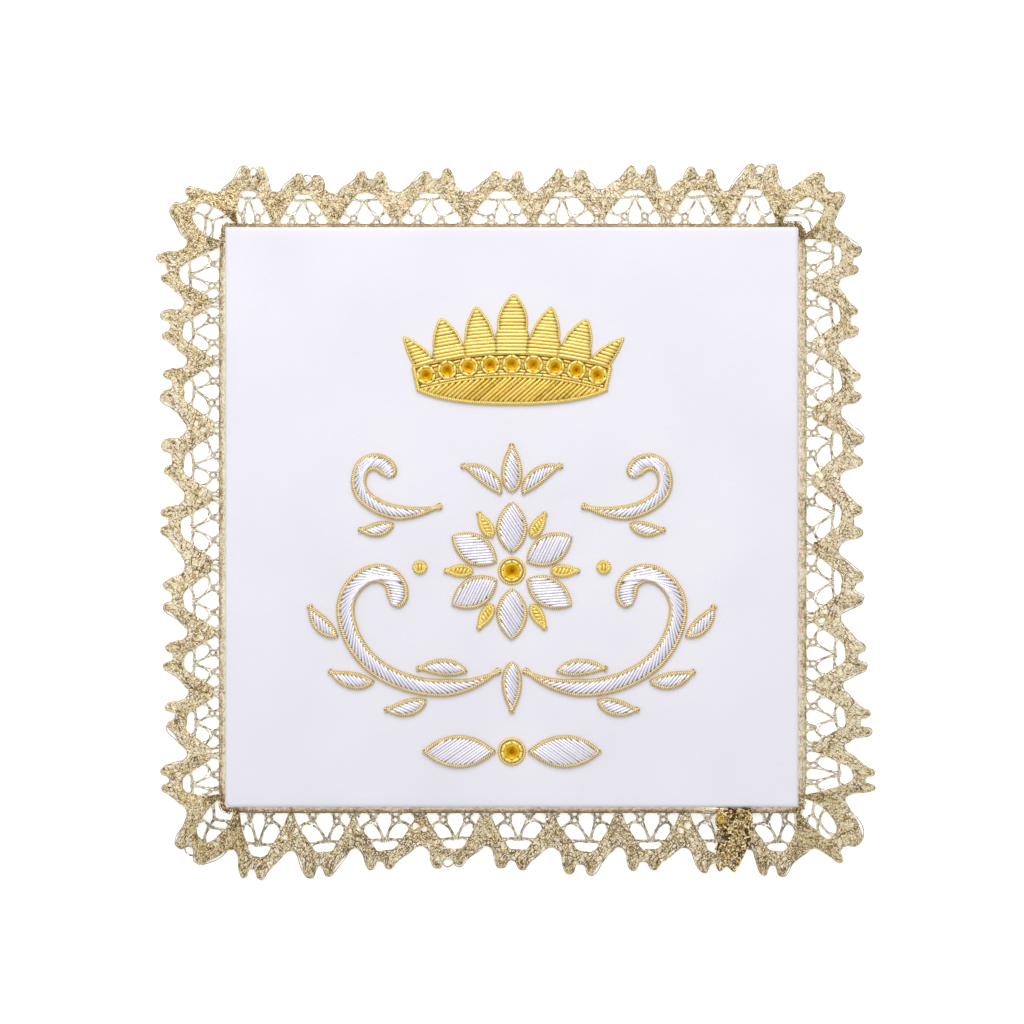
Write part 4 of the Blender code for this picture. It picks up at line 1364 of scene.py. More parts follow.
TANGLE_POINTS = 12


def tangle(bag, unit, count, spread, heights, ceiling, lifts, dark,
           ragged=0.0, radii=(0.14, 0.19), waist=None):
    """Threads turned in and oversewn, so that they lie dense and curled.

    spread is from where to where along the repeat, and heights from where to where over the footing, under a
    ceiling that depends on s. ragged makes the start uneven, and waist is how narrow it is at the footing.
    """
    for _ in range(count):
        low = spread[0] + rng.uniform(-0.3, 1.0) * ragged
        s0 = rng.uniform(*spread)
        v0 = rng.uniform(heights[0], max(heights[0] + 0.1, min(heights[1], float(ceiling(s0)))))
        length = rng.uniform(1.8, 4.4)
        curl = rng.choice((-1, 1)) * rng.uniform(0.5, 2.2)
        t = np.linspace(0, 1, TANGLE_POINTS)
        heading = rng.uniform(0, 2 * math.pi) + curl * t * length
        s = np.clip(s0 + np.cumsum(np.cos(heading)) * length / TANGLE_POINTS, low, spread[1])
        v = np.clip(v0 + np.cumsum(np.sin(heading)) * length / TANGLE_POINTS, heights[0], None)
        v = np.minimum(v, ceiling(s))
        s = np.maximum(s, low + 0.4 * ragged * np.sin(v * 1.9))
        if waist is not None:
            middle = (spread[0] + spread[1]) / 2
            reach = waist + 0.45 * np.maximum(v, 0)
            s = middle + np.clip(s - middle, -reach, reach)
        z = rng.uniform(*lifts) + 0.18 * np.sin(7 * t + v0)
        # dense parts are painted darker, as shade among the crowded threads, and paler towards the tips,
        # where fewer lie
        shade = dark * (1 - 0.9 * min(max((v0 - 9.5) / 3, 0), 1)) + rng.normal(0, 0.4)
        foil(bag, lace_place(unit, s, v, z), rng.uniform(*radii), 4, shade)


def make_gathers():
    """Where the strip's ends lap, where it gathers close round the panel's corners, and in the dense feet."""
    bag, lap = Bag(), Bag()

    def lap_top(s):
        return lap_ceiling(s + HALF_UNIT)

    def foot_top(s):
        return 5.0 - 0.8 * np.abs(np.abs(s) - HALF_UNIT)

    def by_foot(half):
        return -HALF_UNIT - half, -HALF_UNIT + half

    span, heights = (-HALF_UNIT - LAP_SPAN, -HALF_UNIT + 0.9), (-1.9, 14.5)
    # the lower layer of curls is painted dark, as the shade in the gaps under the upper layer
    tangle(lap, 0, 185, span, heights, lap_top, (0.4, 1.1), dark=1.5, ragged=1.0, radii=(0.2, 0.26))
    tangle(lap, 0, 150, span, heights, lap_top, (1.3, 2.1), dark=-0.05, ragged=1.0, radii=(0.22, 0.3))
    s = np.linspace(-HALF_UNIT - LAP_SPAN, -HALF_UNIT + 1.0, 40)
    ribbon(lap, lace_place(0, s, lap_top(s), 0.5), 0.15, 0.13)
    for foot in range(1, UNITS):
        if BY_CORNER[foot]:
            tangle(bag, foot, 34, by_foot(3.0), (-1.5, 4.6), foot_top, (0.1, 0.5), dark=0.45, waist=0.9)
        elif not OPEN_FEET[foot]:
            heights = (max(FOOT_LEVELS[foot], 0) + 0.6, 6.5)
            tangle(bag, foot, 10, by_foot(1.9), heights, lambda s: 9.0, (-0.1, 0.2), dark=0.25)
    # the braid is gathered at the corners
    span = (-HALF_UNIT + 1.5, HALF_UNIT - 1.5)
    for unit in CORNER_NUMBERS:
        tangle(bag, unit, 30, span, (-1.9, 0.5), lambda s: 0.5 + 0 * s, (0.15, 0.5), dark=0.3)
    return bag, lap


KNOT_PLACE = np.array([58.2, -84.0, 4.0])


def make_knot():
    """The yellow thread that the lap is fastened with, wound into a lump."""
    bag = Bag()
    for _ in range(14):
        turn = np.linspace(0, 2 * math.pi * rng.uniform(0.7, 1.3), 18)
        tilt = rng.uniform(0, math.pi)
        size = rng.uniform(0.5, 1.5)
        flat = rng.uniform(0.3, 0.9)
        x = size * np.cos(turn)
        y = size * flat * np.sin(turn)
        ring = np.stack([
            x * math.cos(tilt) - y * math.sin(tilt), x * math.sin(tilt) + y * math.cos(tilt),
            0.45 * np.sin(turn + rng.uniform(0, 6)) + rng.uniform(0, 0.3),
        ], 1)
        foil(bag, KNOT_PLACE + ring + rng.normal(0, 0.15, 3) * (1, 1, 0), 0.18, 5)
    # its loose ends
    for _ in range(3):
        way = rng.uniform(0, 2 * math.pi)
        far = np.linspace(0.6, rng.uniform(1.4, 2.0), 8)
        tail = np.stack([far * math.cos(way), far * math.sin(way), 0.3 + 0.2 * np.sin(far * 3)], 1)
        foil(bag, KNOT_PLACE + tail, 0.15, 4)
    return bag


def make_lace():
    """The whole strip: its trail, which stands for the part's lace, all its other pieces and its length."""
    net, weaver, filling, core = make_trail()
    trail = net.make("lace_trail", LAME, "lace_gold", ("lace_edging",))
    braid, cord = make_footing()
    gathers, lap = make_gathers()
    rest = (
        ("lace_weaver", weaver, LAME),
        ("lace_filling", filling, LAME),
        ("lace_core", core, CORE),
        ("lace_edge", make_edge(), OUTLINE),
        ("lace_brides", make_brides(), THREAD),
        ("lace_footing", braid, BRAID),
        ("lace_footing_cord", cord, OUTLINE),
        ("lace_gathers", gathers, LAME),
        ("lace_lap", lap, CURL),
        ("lace_knot", make_knot(), KNOT),
    )
    others = [bag.make(name, material, "lace_gold") for name, bag, material in rest]
    length = float(FOOT_MARKS[-1] - FOOT_MARKS[0] + LAP_END - LAP_START) * MM
    return trail, others, length


# the embroidery: outlines
def spine(x, y, heading, runs, step):
    """Points (x, y, heading) along runs that each have a length and turn evenly through an angle."""
    found = [(x, y, heading)]
    for length, turn in runs:
        parts = max(1, math.ceil(length / step))
        part = length / parts
        for _ in range(parts):
            heading += turn / parts / 2
            x += math.cos(heading) * part
            y += math.sin(heading) * part
            heading += turn / parts / 2
            found.append((x, y, heading))
    return np.array(found)


def leaf_width(share, fullness):
    """A leaf's width at a share of its length, where 1 is its greatest width."""
    root, point = fullness
    peak = root / (root + point)
    return share**root * (1 - share) ** point / (peak**root * (1 - peak) ** point)


def point_at(place, along, line):
    """The point of a line at a distance along it."""
    return np.array([np.interp(place, along, line[:, k]) for k in range(2)])


def angle_of(vector):
    return math.atan2(vector[1], vector[0])


def ways(heading):
    """The direction of a heading, and the one at right angles to it."""
    way = np.array([math.cos(heading), math.sin(heading)])
    return way, np.array([-way[1], way[0]])


class Shape:
    """A pad's two edges, as points for the same distances along it, and how its wires lie.

    brow is how high the wires' ends are as a share of their crown, tones are how light they are, and curl is
    the place from which a scroll's wires lie parallel.
    """

    def __init__(self, left, right, angle=40.0, pitch=0.95):
        self.left = np.asarray(left, float)
        self.right = np.asarray(right, float)
        self.middle = (self.left + self.right) / 2
        self.along = distances_along(self.middle)
        self.angle = math.radians(angle)
        self.pitch = pitch
        self.insets = (None, None)
        self.hatch = angle_of(self.middle[-1] - self.middle[0]) + self.angle
        self.curl = None
        self.brow = 0.42
        self.tones = (0.35, 0.9)

    @property
    def length(self):
        return self.along[-1]

    def inset_at(self, side, place):
        """How far the wires stop inside an edge: the cord's width, or nothing where there is no cord."""
        own = self.insets[0 if side > 0 else 1]
        return WIRE_INSET if own is None else own(place)

    def edge(self, side, place, inset=0.0):
        """A point of one edge, moved in towards the middle by inset."""
        place = np.clip(place, 0, self.length)
        own, other = (self.left, self.right) if side > 0 else (self.right, self.left)
        a = point_at(place, self.along, own)
        b = point_at(place, self.along, other)
        width = np.hypot(*(b - a)) + 1e-6
        return a + (b - a) / width * min(inset, width * 0.5)

    def at(self, place):
        return point_at(place, self.along, self.middle)

    def ahead(self, place):
        """The way along the pad at a place."""
        return self.at(min(place + 0.3, self.length)) - self.at(max(place - 0.3, 0))

    def wire_area(self):
        """The closed line that the wires are cut to."""
        places = np.linspace(0, self.length, 90)
        left = [self.edge(1, p, self.inset_at(1, p)) for p in places]
        right = [self.edge(-1, p, self.inset_at(-1, p)) for p in places]
        return np.vstack([left, right[::-1]])

    def outline(self, inset):
        """The closed line inside the outline, inset from it."""
        loop = resample(np.vstack([self.left, self.right[::-1]]), 0.35, closed=True)
        after = np.roll(loop, -1, 0)
        tangent = unit_vectors(after - np.roll(loop, 1, 0))
        normal = np.stack([tangent[:, 1], -tangent[:, 0]], 1)
        area = np.sum(loop[:, 0] * after[:, 1] - after[:, 0] * loop[:, 1])
        return loop - normal * inset * (1 if area > 0 else -1)

    def side_line(self, side, start, end, inset):
        """The line along one edge from one place to another, inset from it."""
        return np.array([self.edge(side, p, inset) for p in np.linspace(start, end, 40)])


def crossings(loop, point, way):
    """Distances from point, in order, at which a straight line crosses a closed line."""
    p = loop - point
    q = np.roll(p, -1, 0)
    across = np.array([-way[1], way[0]])
    dp, dq = p @ across, q @ across
    crosses = (dp > 0) != (dq > 0)
    share = dp[crosses] / (dp[crosses] - dq[crosses])
    return np.sort((p[crosses] + (q - p)[crosses] * share[:, None]) @ way)


def hatch_cuts(loop, heading, pitch):
    """Both ends of every stretch of evenly spaced parallel lines inside a closed line."""
    way, across = ways(heading)
    reach = loop @ across
    count = max(1, round((reach.max() - reach.min()) / pitch))
    found = []
    for k in range(count):
        offset = reach.min() + (k + 0.5) * (reach.max() - reach.min()) / count + rng.normal(0, 0.02)
        origin = across * offset
        hits = crossings(loop, origin, way)
        for first, last in zip(hits[::2], hits[1::2]):
            found.append((origin + way * first, origin + way * last))
    return found


def following_cuts(shape, loop, start, end):
    """Both ends of the wires that turn with a curved pad, from one place along it to another."""
    step = shape.pitch / abs(math.sin(shape.angle))
    count = max(1, round((end - start) / step))
    found = []
    for k in range(count):
        place = start + (k + 0.5) * (end - start) / count
        here = shape.at(place)
        way, _ = ways(angle_of(shape.ahead(place)) + shape.angle + rng.normal(0, 0.012))
        hits = crossings(loop, here, way)
        before, after = hits[hits < 0], hits[hits > 0]
        if len(before) % 2 and len(after) % 2:
            found.append((here + way * before[-1], here + way * after[0]))
    return found


def band_shape(line, widths, angle):
    """A shape that is as wide as asked at each point of its middle line."""
    across = np.stack([-np.sin(line[:, 2]), np.cos(line[:, 2])], 1) * (np.asarray(widths) / 2)[:, None]
    return Shape(line[:, :2] + across, line[:, :2] - across, angle)


LEAST_WIDTH = 0.3


def leaf_shape(x, y, heading, length, turn, width, fullness, angle=34.0):
    line = spine(x, y, heading, ((length, turn),), length / 30)
    share = np.linspace(0, 1, len(line))
    widths = np.maximum(LEAST_WIDTH, width * leaf_width(share, fullness))
    return band_shape(line, widths, angle)


def row_shape(row, fullness, angle=34.0):
    """The shape of a leaf that is a row of the tables above."""
    heading, turn = math.radians(row.heading), math.radians(row.turn)
    return leaf_shape(row.x, row.y, heading, row.length, turn, row.width, fullness, angle)


SCROLL_ANGLE = 33.0
# how much wider a scroll's curl is than the rest, and how long it is, in the scroll's own widths
CURL_SWELL = 0.3
CURL_LENGTH = 2.9


def scroll_shape(scroll):
    """A scroll's middle line and shape: a taper from its pointed root, then a wider curl with a round end."""
    runs = [(length, math.radians(turn)) for length, turn in scroll.runs]
    line = spine(scroll.x, scroll.y, math.radians(scroll.heading), runs, 0.6)
    along = distances_along(line[:, :2])
    left = along[-1] - along
    full = scroll.width
    width = full * np.minimum(1, along / scroll.taper) ** 0.7
    width *= 1 + CURL_SWELL * np.maximum(0, 1 - left / (3 * full))
    radius = full * (1 + CURL_SWELL) / 2
    width *= np.where(left < radius, np.sqrt(np.maximum(0, 1 - (1 - left / radius) ** 2)), 1)
    shape = band_shape(line, np.maximum(LEAST_WIDTH, width), SCROLL_ANGLE)
    shape.curl = along[-1] - full * CURL_LENGTH
    return line, shape


def on_ring(along, up):
    """A point from the distances along the crown's curved band and up from the band's top."""
    angle = along / BAND_RADIUS
    radius = BAND_RADIUS + up
    return np.array([radius * math.sin(angle), BAND_TOP_Y - BAND_RADIUS + radius * math.cos(angle)])


# the embroidery: wires and cords, in mm
CORD_RADIUS = 0.68
CORD_SIDES = 7
BEAD = 0.58
BEAD_POINTS = 4
WIRE_RADIUS = 0.47
WIRE_PITCH = 0.95
WIRE_SIDES = 8
WIRE_WANDER = 0.03
SHORTEST_WIRE = 0.45
WIRE_LIFT = 0.34
WIRE_INSET = 0.93
RAY_INSET = 1.0
RAY_CORD_INSET = 0.72
RAY_CORD = 0.42
RAY_DRIFT = 0.5
# levels of the padding over the satin: at its foot, at its sides and in the middle of a flat one
PAD_FOOT = 0.02
PAD_SIDE = 0.32
PAD_TOP = 0.28
# the padding's tone, dark as painted shade between the wires, and less dark under silver
PAD_SHADE_TONE = -0.75
SILVER_PAD_SHADE_TONE = 0.45
SILVER_PITCH = 0.76


def pad_height(span):
    """How high the wires arch in the middle of a pad of this width."""
    return 0.34 + 0.62 * min(1.0, span / 4.0)


def straight_path(a, b, z, count):
    """Points evenly spaced from a to b, at heights z."""
    t = np.linspace(0, 1, count)[:, None]
    return np.column_stack([a + (b - a) * t, np.broadcast_to(z, count)])


def cut_wire(bag, path, radius, end_share, tones):
    """A cut length of coiled wire, a little thinner at both ends."""
    widths = np.full(len(path), float(radius))
    widths[[0, -1]] *= end_share
    tone = rng.uniform(*tones)
    bag.tube(path, widths, WIRE_SIDES, tone=tone, start=rng.uniform(0, 1))


def curl_cuts(shape, loop):
    """Both ends of the parallel wires in a scroll's curl."""
    here = shape.at(shape.curl)
    ahead = shape.ahead(shape.curl)
    way, across = ways(angle_of(ahead) + shape.angle)
    forward = 1 if across @ ahead > 0 else -1
    places = np.linspace(0, shape.length, 240)
    axis = np.array([shape.at(p) for p in places])
    reach = (loop - here) @ across * forward
    offset = reach.min()
    offset += (-offset) % shape.pitch + shape.pitch / 2
    found = []
    while offset < reach.max():
        origin = here + across * forward * offset
        hits = crossings(loop, origin, way)
        for first, last in zip(hits[::2], hits[1::2]):
            middle = origin + way * (first + last) / 2
            nearest = places[np.argmin(np.hypot(*(axis - middle).T))]
            # lines behind the curl's start also cross the scroll itself, which has its own wires
            if nearest > shape.curl + (0.2 if offset > 0 else 4.0):
                found.append((origin + way * first, origin + way * last))
        offset += shape.pitch
    return found


def wire_cuts(shape):
    """Both ends of all the wires of a shape. A scroll's turn with it, and lie parallel in its curl."""
    loop = shape.wire_area()
    if shape.curl is None:
        return hatch_cuts(loop, shape.hatch, shape.pitch)
    return following_cuts(shape, loop, 0.6, shape.curl) + curl_cuts(shape, loop)


def lay_wires(bag, shape, rise):
    """Cut lengths of coiled wire side by side across a pad, over its crown and down at both edges."""
    for a, b in wire_cuts(shape):
        span = np.hypot(*(b - a))
        if span < SHORTEST_WIRE:
            continue
        a = a + rng.normal(0, WIRE_WANDER, 2)
        b = b + rng.normal(0, WIRE_WANDER, 2)
        count = max(5, int(span / 0.6))
        t = np.linspace(0, 1, count)
        arch = shape.brow + (1 - shape.brow) * np.sqrt(np.clip(1 - (2 * t - 1) ** 2, 0, 1))
        z = PANEL_THICKNESS + WIRE_LIFT + pad_height(span * 0.8) * rise * arch + rng.normal(0, 0.02)
        radius = WIRE_RADIUS * shape.pitch / WIRE_PITCH
        cut_wire(bag, straight_path(a, b, z, count), radius, 0.85, shape.tones)


def lay_pad(bag, shape, rise, tone):
    """The padding under the wires, painted dark as the shade that shows between them."""
    low, side = PANEL_THICKNESS + PAD_FOOT, PANEL_THICKNESS + PAD_SIDE
    sections = []
    for place in np.linspace(0, shape.length, 20):
        a = shape.edge(1, place, shape.inset_at(1, place) - 0.05)
        b = shape.edge(-1, place, shape.inset_at(-1, place) - 0.05)
        top = PANEL_THICKNESS + PAD_TOP + pad_height(np.hypot(*(a - b))) * rise * 0.8
        c = (a + b) / 2
        q, r = a + (c - a) * 0.4, b + (c - b) * 0.4
        shoulder = side + (top - side) * 0.88
        sections.append([
            (*b, low), (*b, side), (*r, shoulder), (*c, top), (*q, shoulder), (*a, side), (*a, low),
        ])
    bag.loft(sections, tone)


def lay_cord(bag, line, radius=CORD_RADIUS, closed=True, z=None, bead=BEAD):
    """A couched cord of coarse coiled wire, which looks like a string of beads."""
    level = PANEL_THICKNESS + radius * 0.85 if z is None else z
    path = resample(line, bead / BEAD_POINTS, closed)
    count = len(path)
    path = np.column_stack([path, np.full(count, level)])
    beads = max(1, round(count / BEAD_POINTS))
    phase = np.arange(count) / count * beads * 2 * np.pi
    swell = radius * (0.92 + 0.13 * np.cos(phase))
    # each bead is painted light at its crest and dark between, as painted light and shade
    tone = 0.44 + 0.66 * np.cos(phase)
    ends = [] if closed else [tone[0], tone[-1]]
    tones = np.concatenate([np.repeat(tone, CORD_SIDES), ends])
    bag.tube(path, swell, CORD_SIDES, closed, tones, slant=0.4)


def motif(name, shape, material, slot, rise=1.0, cords=None, mirror=False, cord_radius=CORD_RADIUS,
          cord_material=CORD):
    """One embroidered pad: its wires over padding and the cord round it, and the same mirrored if asked."""
    if material is SILVER:
        shape.pitch = SILVER_PITCH
    wires, cord = Bag(), Bag()
    lay_pad(wires, shape, rise, SILVER_PAD_SHADE_TONE if material is SILVER else PAD_SHADE_TONE)
    lay_wires(wires, shape, rise)
    for line, closed in [(shape.outline(CORD_RADIUS), True)] if cords is None else cords:
        lay_cord(cord, line, cord_radius, closed)
    copies = [(name, wires, cord)]
    if mirror:
        copies = [(f"{name}_right", wires, cord), (f"{name}_left", wires.mirrored(), cord.mirrored())]
    for node, own_wires, own_cord in copies:
        own_wires.make(f"{node}_purl", material, slot, (node,))
        own_cord.make(f"{node}_cord", cord_material, "purl_gold")


# the rings of a cup stone's facets: share of its radius, height and tone, a painted reflection bright at the
# rim and dark in the middle
GEM_RINGS = (
    (1.0, 0.0, 0.55), (1.0, 0.5, 0.75), (0.86, 0.72, 1.0), (0.70, 0.60, 0.62), (0.42, 0.34, 0.34),
    (0.20, 0.24, 0.05),
)
GEM_SIDES = 16


def gem(bag, x, y, z, radius, turn):
    """A round foil-backed cup stone: a rim of facets that falls in to a middle, its tones painted reflections
    that are light at the rim and dark in the middle.
    """
    points, tones = [], []
    for row, (share, height, tone) in enumerate(GEM_RINGS):
        for i in range(GEM_SIDES):
            angle = turn + 2 * math.pi * (i + (row % 2) / 2) / GEM_SIDES
            reach = radius * share
            points.append((x + reach * math.cos(angle), y + reach * math.sin(angle), z + height))
            tones.append(tone + rng.normal(0, 0.09))
    tris = []
    for row in range(len(GEM_RINGS) - 1):
        a, b = row * GEM_SIDES, (row + 1) * GEM_SIDES
        for i in range(GEM_SIDES):
            j = (i + 1) % GEM_SIDES
            if row % 2:
                tris += [(a + i, b + j, b + i), (a + i, a + j, b + j)]
            else:
                tris += [(a + i, a + j, b + i), (a + j, b + j, b + i)]
    top = len(points)
    points += [(x, y, z + 0.22), (x, y, z)]
    tones += [rng.uniform(-0.15, 0.2), 0.2]
    last = (len(GEM_RINGS) - 1) * GEM_SIDES
    for i in range(GEM_SIDES):
        j = (i + 1) % GEM_SIDES
        tris.append((last + i, last + j, top))
        tris.append((j, i, top + 1))
    bag.add(points, None, tris, tones)


def set_stone(name, x, y, z, radius, chips, cord_radius=None, turn=0.0, chip_radius=0.42):
    """A stone in a frame of short wires laid round it, like an open polygon, and in a round cord if asked."""
    stone = Bag()
    gem(stone, x, y, z, radius, turn)
    stone.make(f"{name}_gem", AMBER, "stone_amber", (name,), smooth=False)
    setting = Bag()
    reach = radius + chip_radius * 0.95
    for k in range(chips):
        over = 1 / math.cos(math.pi / chips * 0.6)
        corners = []
        for share in (0.02, 0.98):
            angle = turn + 2 * math.pi * (k + share) / chips
            corners.append(np.array([x + reach * math.cos(angle) * over, y + reach * math.sin(angle) * over]))
        p, q = (corner + rng.normal(0, 0.06, 2) for corner in corners)
        t = np.linspace(0, 1, 6)
        level = z + 0.42 + 0.1 * np.sin(np.pi * t) + rng.uniform(-0.05, 0.08)
        # the frame's wires are painted light, as painted highlights on their raised tops
        cut_wire(setting, straight_path(p, q, level, 6), chip_radius, 0.75, (0.75, 1.25))
    if cord_radius:
        ring = np.linspace(0, 2 * math.pi, 60, endpoint=False)
        line = np.stack([x + cord_radius * np.cos(ring), y + cord_radius * np.sin(ring)], 1)
        lay_cord(setting, line, 0.45)
    setting.make(f"{name}_setting", GOLD, "purl_gold")


# the embroidery: motifs
# how far up each ray touches the next one
SEAM_SHARES = (0.33, 0.27, 0.22, 0.08)
BARE_INSET = 0.12


def ray_shape(ray, side):
    """A ray of the crown, on the right for side 1 or the left for -1, and where both edges' cords start."""
    half = ray.width / 2
    left, right = [], []
    for t in np.linspace(-0.03, 1, 36):
        closing = RAY_CLOSING * max(0, (t - ray.straight) / (1 - ray.straight)) ** 1.8
        half_here = max(0.35, half * (1 - closing))
        middle = (ray.middle + ray.lean * max(t, 0) ** 1.3) * side + RAY_DRIFT * max(t, 0) ** 1.3
        up = ray.height * t
        left.append(on_ring(middle - half_here, up))
        right.append(on_ring(middle + half_here, up))
    shape = Shape(left, right, 90.0, 1.0)
    shape.brow = 0.66
    shape.tones = (0.5, 1.05)
    seam = (SEAM_SHARES[RAYS.index(ray)] + 0.03) * ray.height
    outermost = ray is RAYS[-1]
    touching = (not outermost or side > 0, not outermost or side < 0)

    def inset(touches):
        """How far wires stop inside an edge, which has no cord up to the seam if it touches another ray."""
        if not touches:
            return lambda place: RAY_INSET
        return lambda place: (RAY_INSET + BARE_INSET) * np.clip((place - seam + 0.4) / 2.2, 0, 1) - BARE_INSET

    shape.insets = tuple(inset(touches) for touches in touching)
    # its wires lie along the rings of the band
    foot = shape.at(0.5 * shape.length)
    shape.hatch = math.atan2(BAND_TOP_Y - BAND_RADIUS - foot[1], -foot[0]) + QUARTER
    return shape, [seam if touches else 0.0 for touches in touching]


def make_rays():
    for number, ray in enumerate(RAYS):
        for side, label in ((1, "right"), (-1, "left")):
            if number == 0 and side < 0:
                continue
            name = "crown_ray_middle" if number == 0 else f"crown_ray_{label}_{number}"
            shape, starts = ray_shape(ray, side)
            tip = shape.length - 0.75
            up = shape.side_line(1, starts[0], tip, RAY_CORD_INSET)
            down = shape.side_line(-1, tip, starts[1], RAY_CORD_INSET)
            cord = np.vstack([up, shape.at(shape.length - RAY_CORD)[None, :], down])
            motif(name, shape, GOLD, "purl_gold", 0.85, [(cord, False)], False, RAY_CORD, GOLD)


# the heights of the short wires between the settings and of the long ones under them, from the band's top
CORNER_WIRES = (-1.35, -5.15)
LONG_WIRES = -5.95
BAND_WIRE_RADIUS = 0.38
FINE_WIRE_RADIUS = 0.24


def band_pad(band):
    low_z, top_z = PANEL_THICKNESS + PAD_FOOT, PAD_BOTTOM + 0.1
    sections = []
    for along in np.linspace(-BAND_HALF_LENGTH, BAND_HALF_LENGTH, 40):
        top = on_ring(along, 0.2)
        low = on_ring(along * BAND_LOW_SHARE, -BAND_DEPTH - 0.3)
        sections.append([(*low, low_z), (*low, top_z), (*top, top_z), (*top, low_z)])
    # the band's padding is painted dark, as painted shade between its wires
    band.loft(sections, 0.05)


def corner_wires(band):
    """Short wires over and under the gaps between the settings, with finer ones that lean in to each gap."""
    for k in range(CROWN_STONES + 1):
        along = (k - CROWN_STONES / 2) * CROWN_STONE_PITCH
        at_end = k in (0, CROWN_STONES)
        half = 0.6 if at_end else 1.1
        along -= math.copysign(1.9, along) if at_end else 0
        for up in CORNER_WIRES:
            a = on_ring(along - half + rng.normal(0, 0.08), up + rng.normal(0, 0.06))
            b = on_ring(along + half + rng.normal(0, 0.08), up + rng.normal(0, 0.06))
            path = straight_path(a, b, PAD_BOTTOM + 0.42, 5)
            band.tube(path, BAND_WIRE_RADIUS, WIRE_SIDES, tone=rng.uniform(0.2, 0.6))
            for lean in (-1, 1) if not at_end else ():
                rise = up + CROWN_STONE_DROP
                a = on_ring(along + lean * 0.12, -CROWN_STONE_DROP + rise * 0.15)
                b = on_ring(along + lean * 0.42, -CROWN_STONE_DROP + rise * 0.72)
                path = straight_path(a, b, PAD_BOTTOM + 0.36, 5)
                band.tube(path, FINE_WIRE_RADIUS, WIRE_SIDES, tone=rng.uniform(0.1, 0.5))


def long_wires(band):
    """A row of long wires under the stones, broken now and then."""
    place = -BAND_HALF_LENGTH + 0.7
    while place < BAND_HALF_LENGTH - 1.2:
        end = min(place + rng.uniform(5.0, 8.0), BAND_HALF_LENGTH - 0.7)
        line = np.array([on_ring(p, LONG_WIRES) for p in np.linspace(place, end, 14)])
        path = np.column_stack([line, np.full(14, PAD_BOTTOM + 0.5)])
        band.tube(path, BAND_WIRE_RADIUS, WIRE_SIDES, tone=rng.uniform(0.4, 0.9))
        place = end + 0.1


def band_cords(cords):
    """The cords over and under the band, and across both its ends."""
    for up, share in ((-0.4, 1.0), (-BAND_DEPTH - 0.35, BAND_LOW_SHARE)):
        reach = np.linspace(-BAND_HALF_LENGTH, BAND_HALF_LENGTH, 80)
        line = np.array([on_ring(along * share, up) for along in reach])
        lay_cord(cords, line, 0.42, closed=False, z=PAD_BOTTOM + 0.42, bead=0.5)
    for side in (-1, 1):
        a = on_ring(side * (BAND_HALF_LENGTH - 0.3), -0.2)
        b = on_ring(side * (BAND_HALF_LENGTH * BAND_LOW_SHARE - 0.3), -BAND_DEPTH - 0.1)
        lay_cord(cords, a + (b - a) * np.linspace(0, 1, 12)[:, None], closed=False)


def make_base():
    """The crown's base, which follows the band above and bulges below, with a cord on its lower edge."""
    ends_y = on_ring(BASE_HALF_LENGTH, -BAND_DEPTH - GAP)[1]
    top, low = [], []
    for share in np.linspace(-1, 1, 70):
        edge = on_ring(share * BASE_HALF_LENGTH, -BAND_DEPTH - GAP)
        fall = max(0, 1 - abs(share) ** 2.4) ** 0.75
        level = ends_y - (ends_y - BASE_BOTTOM_Y) * fall
        top.append(edge)
        low.append((edge[0], min(level, edge[1] - 0.3)))
    base = Shape(top, low, 41.0)
    base.tones = (-0.15, 0.5)
    base.insets = (lambda place: 0.25, lambda place: WIRE_INSET)
    cord = np.array(low)
    cord[:, 1] += CORD_RADIUS
    motif("crown_base", base, GOLD, "purl_gold", 0.75, [(cord, False)], cord_material=GOLD)


def make_crown():
    make_rays()
    band = Bag()
    band_pad(band)
    corner_wires(band)
    long_wires(band)
    band.make("crown_band_purl", GOLD, "purl_gold", ("crown_band",))
    cords = Bag()
    band_cords(cords)
    cords.make("crown_band_cord", GOLD, "purl_gold")
    make_base()
    for k in range(CROWN_STONES):
        along = (k - (CROWN_STONES - 1) / 2) * CROWN_STONE_PITCH
        x, y = on_ring(along, -CROWN_STONE_DROP)
        set_stone(f"crown_stone_{k + 1}", x, y, PAD_BOTTOM + 0.45, STONE_RADIUS + 0.1, 7,
                  turn=rng.uniform(0, 0.8), chip_radius=0.45)


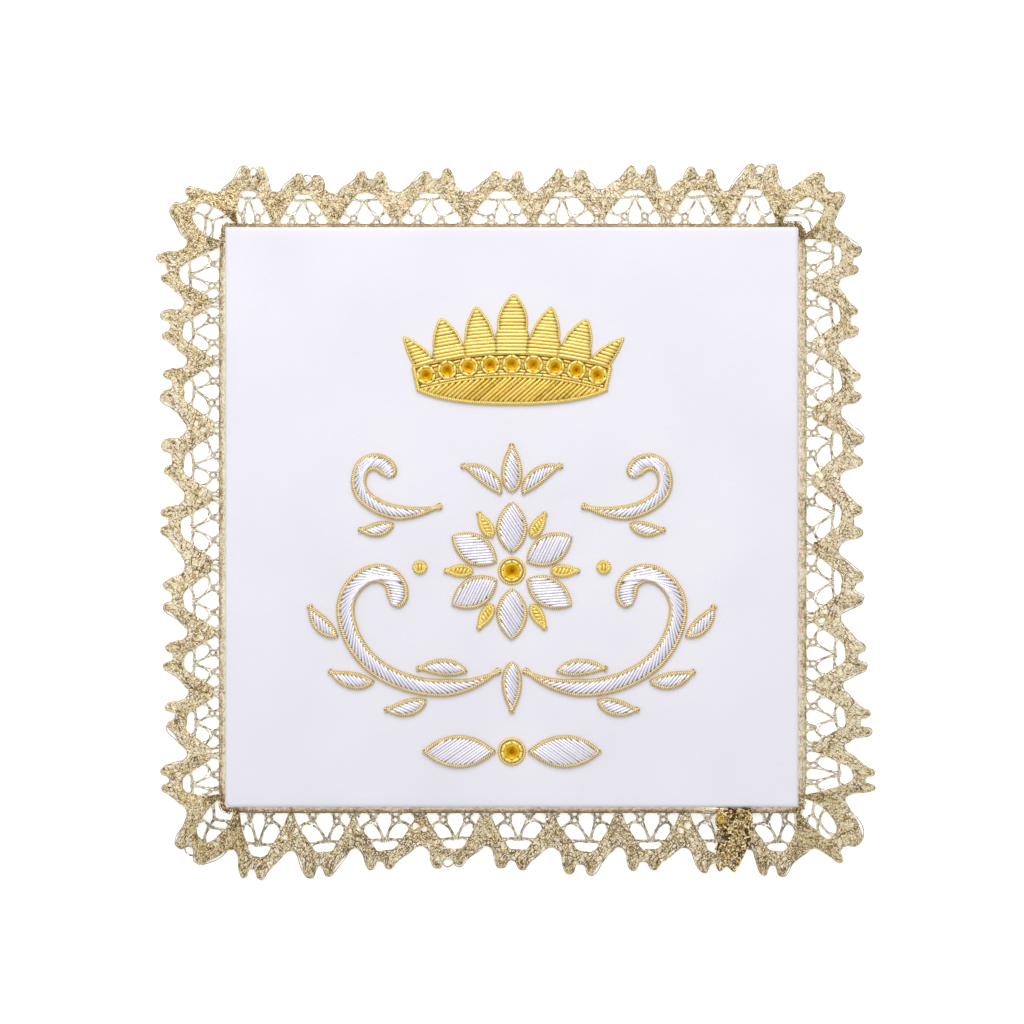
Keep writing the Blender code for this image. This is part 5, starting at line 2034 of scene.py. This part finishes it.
def make_flower():
    """Six silver petals round a stone, with a small gold drop between each two."""
    step = 2 * math.pi / FLOWER_PETALS
    for k in range(FLOWER_PETALS):
        angle = QUARTER + k * step
        x = PETAL_ROOT * math.cos(angle)
        y = FLOWER_Y + PETAL_ROOT * math.sin(angle)
        shape = leaf_shape(x, y, angle, PETAL_LENGTH, 0, PETAL_WIDTH, PETAL_FULLNESS)
        motif(f"petal_{k + 1}", shape, SILVER, "purl_silver")
        angle += step / 2
        x = DROP_ROOT * math.cos(angle)
        y = FLOWER_Y + DROP_ROOT * math.sin(angle)
        shape = leaf_shape(x, y, angle, DROP_LENGTH, 0, DROP_WIDTH, DROP_FULLNESS, 60)
        motif(f"petal_drop_{k + 1}", shape, GOLD, "purl_gold", 0.8, cord_material=GOLD)
    set_stone("flower_stone", 0, FLOWER_Y, PAD_BOTTOM + 0.1, FLOWER_STONE_RADIUS, 8,
              cord_radius=FLOWER_STONE_RADIUS + 1.22)


def make_sprays():
    """The scrolls with their leaves and dots on both sides, and the finials and the pendant between them."""
    lines = []
    for scroll in SCROLLS:
        line, shape = scroll_shape(scroll)
        lines.append(line)
        motif(scroll.name, shape, SILVER, "purl_silver", mirror=True)
    for row in SPRAY_LEAVES:
        scroll = SCROLLS[row.scroll]
        line = lines[row.scroll]
        along = distances_along(line[:, :2])
        x, y, heading = (float(np.interp(row.along, along, line[:, k])) for k in range(3))
        off = (scroll.width / 2 + 0.9) * row.side
        x -= math.sin(heading) * off
        y += math.cos(heading) * off
        heading += math.radians(row.lean) * row.side
        shape = leaf_shape(x, y, heading, row.length, math.radians(row.turn), row.width, LEAF_FULLNESS)
        motif(row.name, shape, SILVER, "purl_silver", mirror=True)
    motif("finial_middle", row_shape(FINIAL, DROP_FULLNESS), SILVER, "purl_silver")
    motif("finial_side", row_shape(FINIAL_SIDE, LEAF_FULLNESS), SILVER, "purl_silver", mirror=True)
    motif("pendant", row_shape(PENDANT, DROP_FULLNESS), SILVER, "purl_silver")
    angles = np.linspace(math.pi, 0, 24)
    x, rise = DOT_X + DOT_RADIUS * np.cos(angles), DOT_RADIUS * np.sin(angles)
    top, low = np.stack([x, DOT_Y + rise], 1), np.stack([x, DOT_Y - rise], 1)
    motif("dot", Shape(top, low, 90.0, 0.85), GOLD, "purl_gold", 0.8, mirror=True, cord_material=GOLD)


def make_bar():
    """Two almond leaves on both sides of a stone."""
    motif("bar_leaf", row_shape(BAR_LEAF, ALMOND_FULLNESS, -35), SILVER, "purl_silver", mirror=True)
    set_stone("bar_stone", 0, BAR_Y, PAD_BOTTOM + 0.1, BAR_STONE_RADIUS, 8,
              cord_radius=BAR_STONE_RADIUS + 1.3, chip_radius=0.5)


make_stage()
make_panel()
trail, lace_pieces, strip_length = make_lace()
make_crown()
make_flower()
make_sprays()
make_bar()
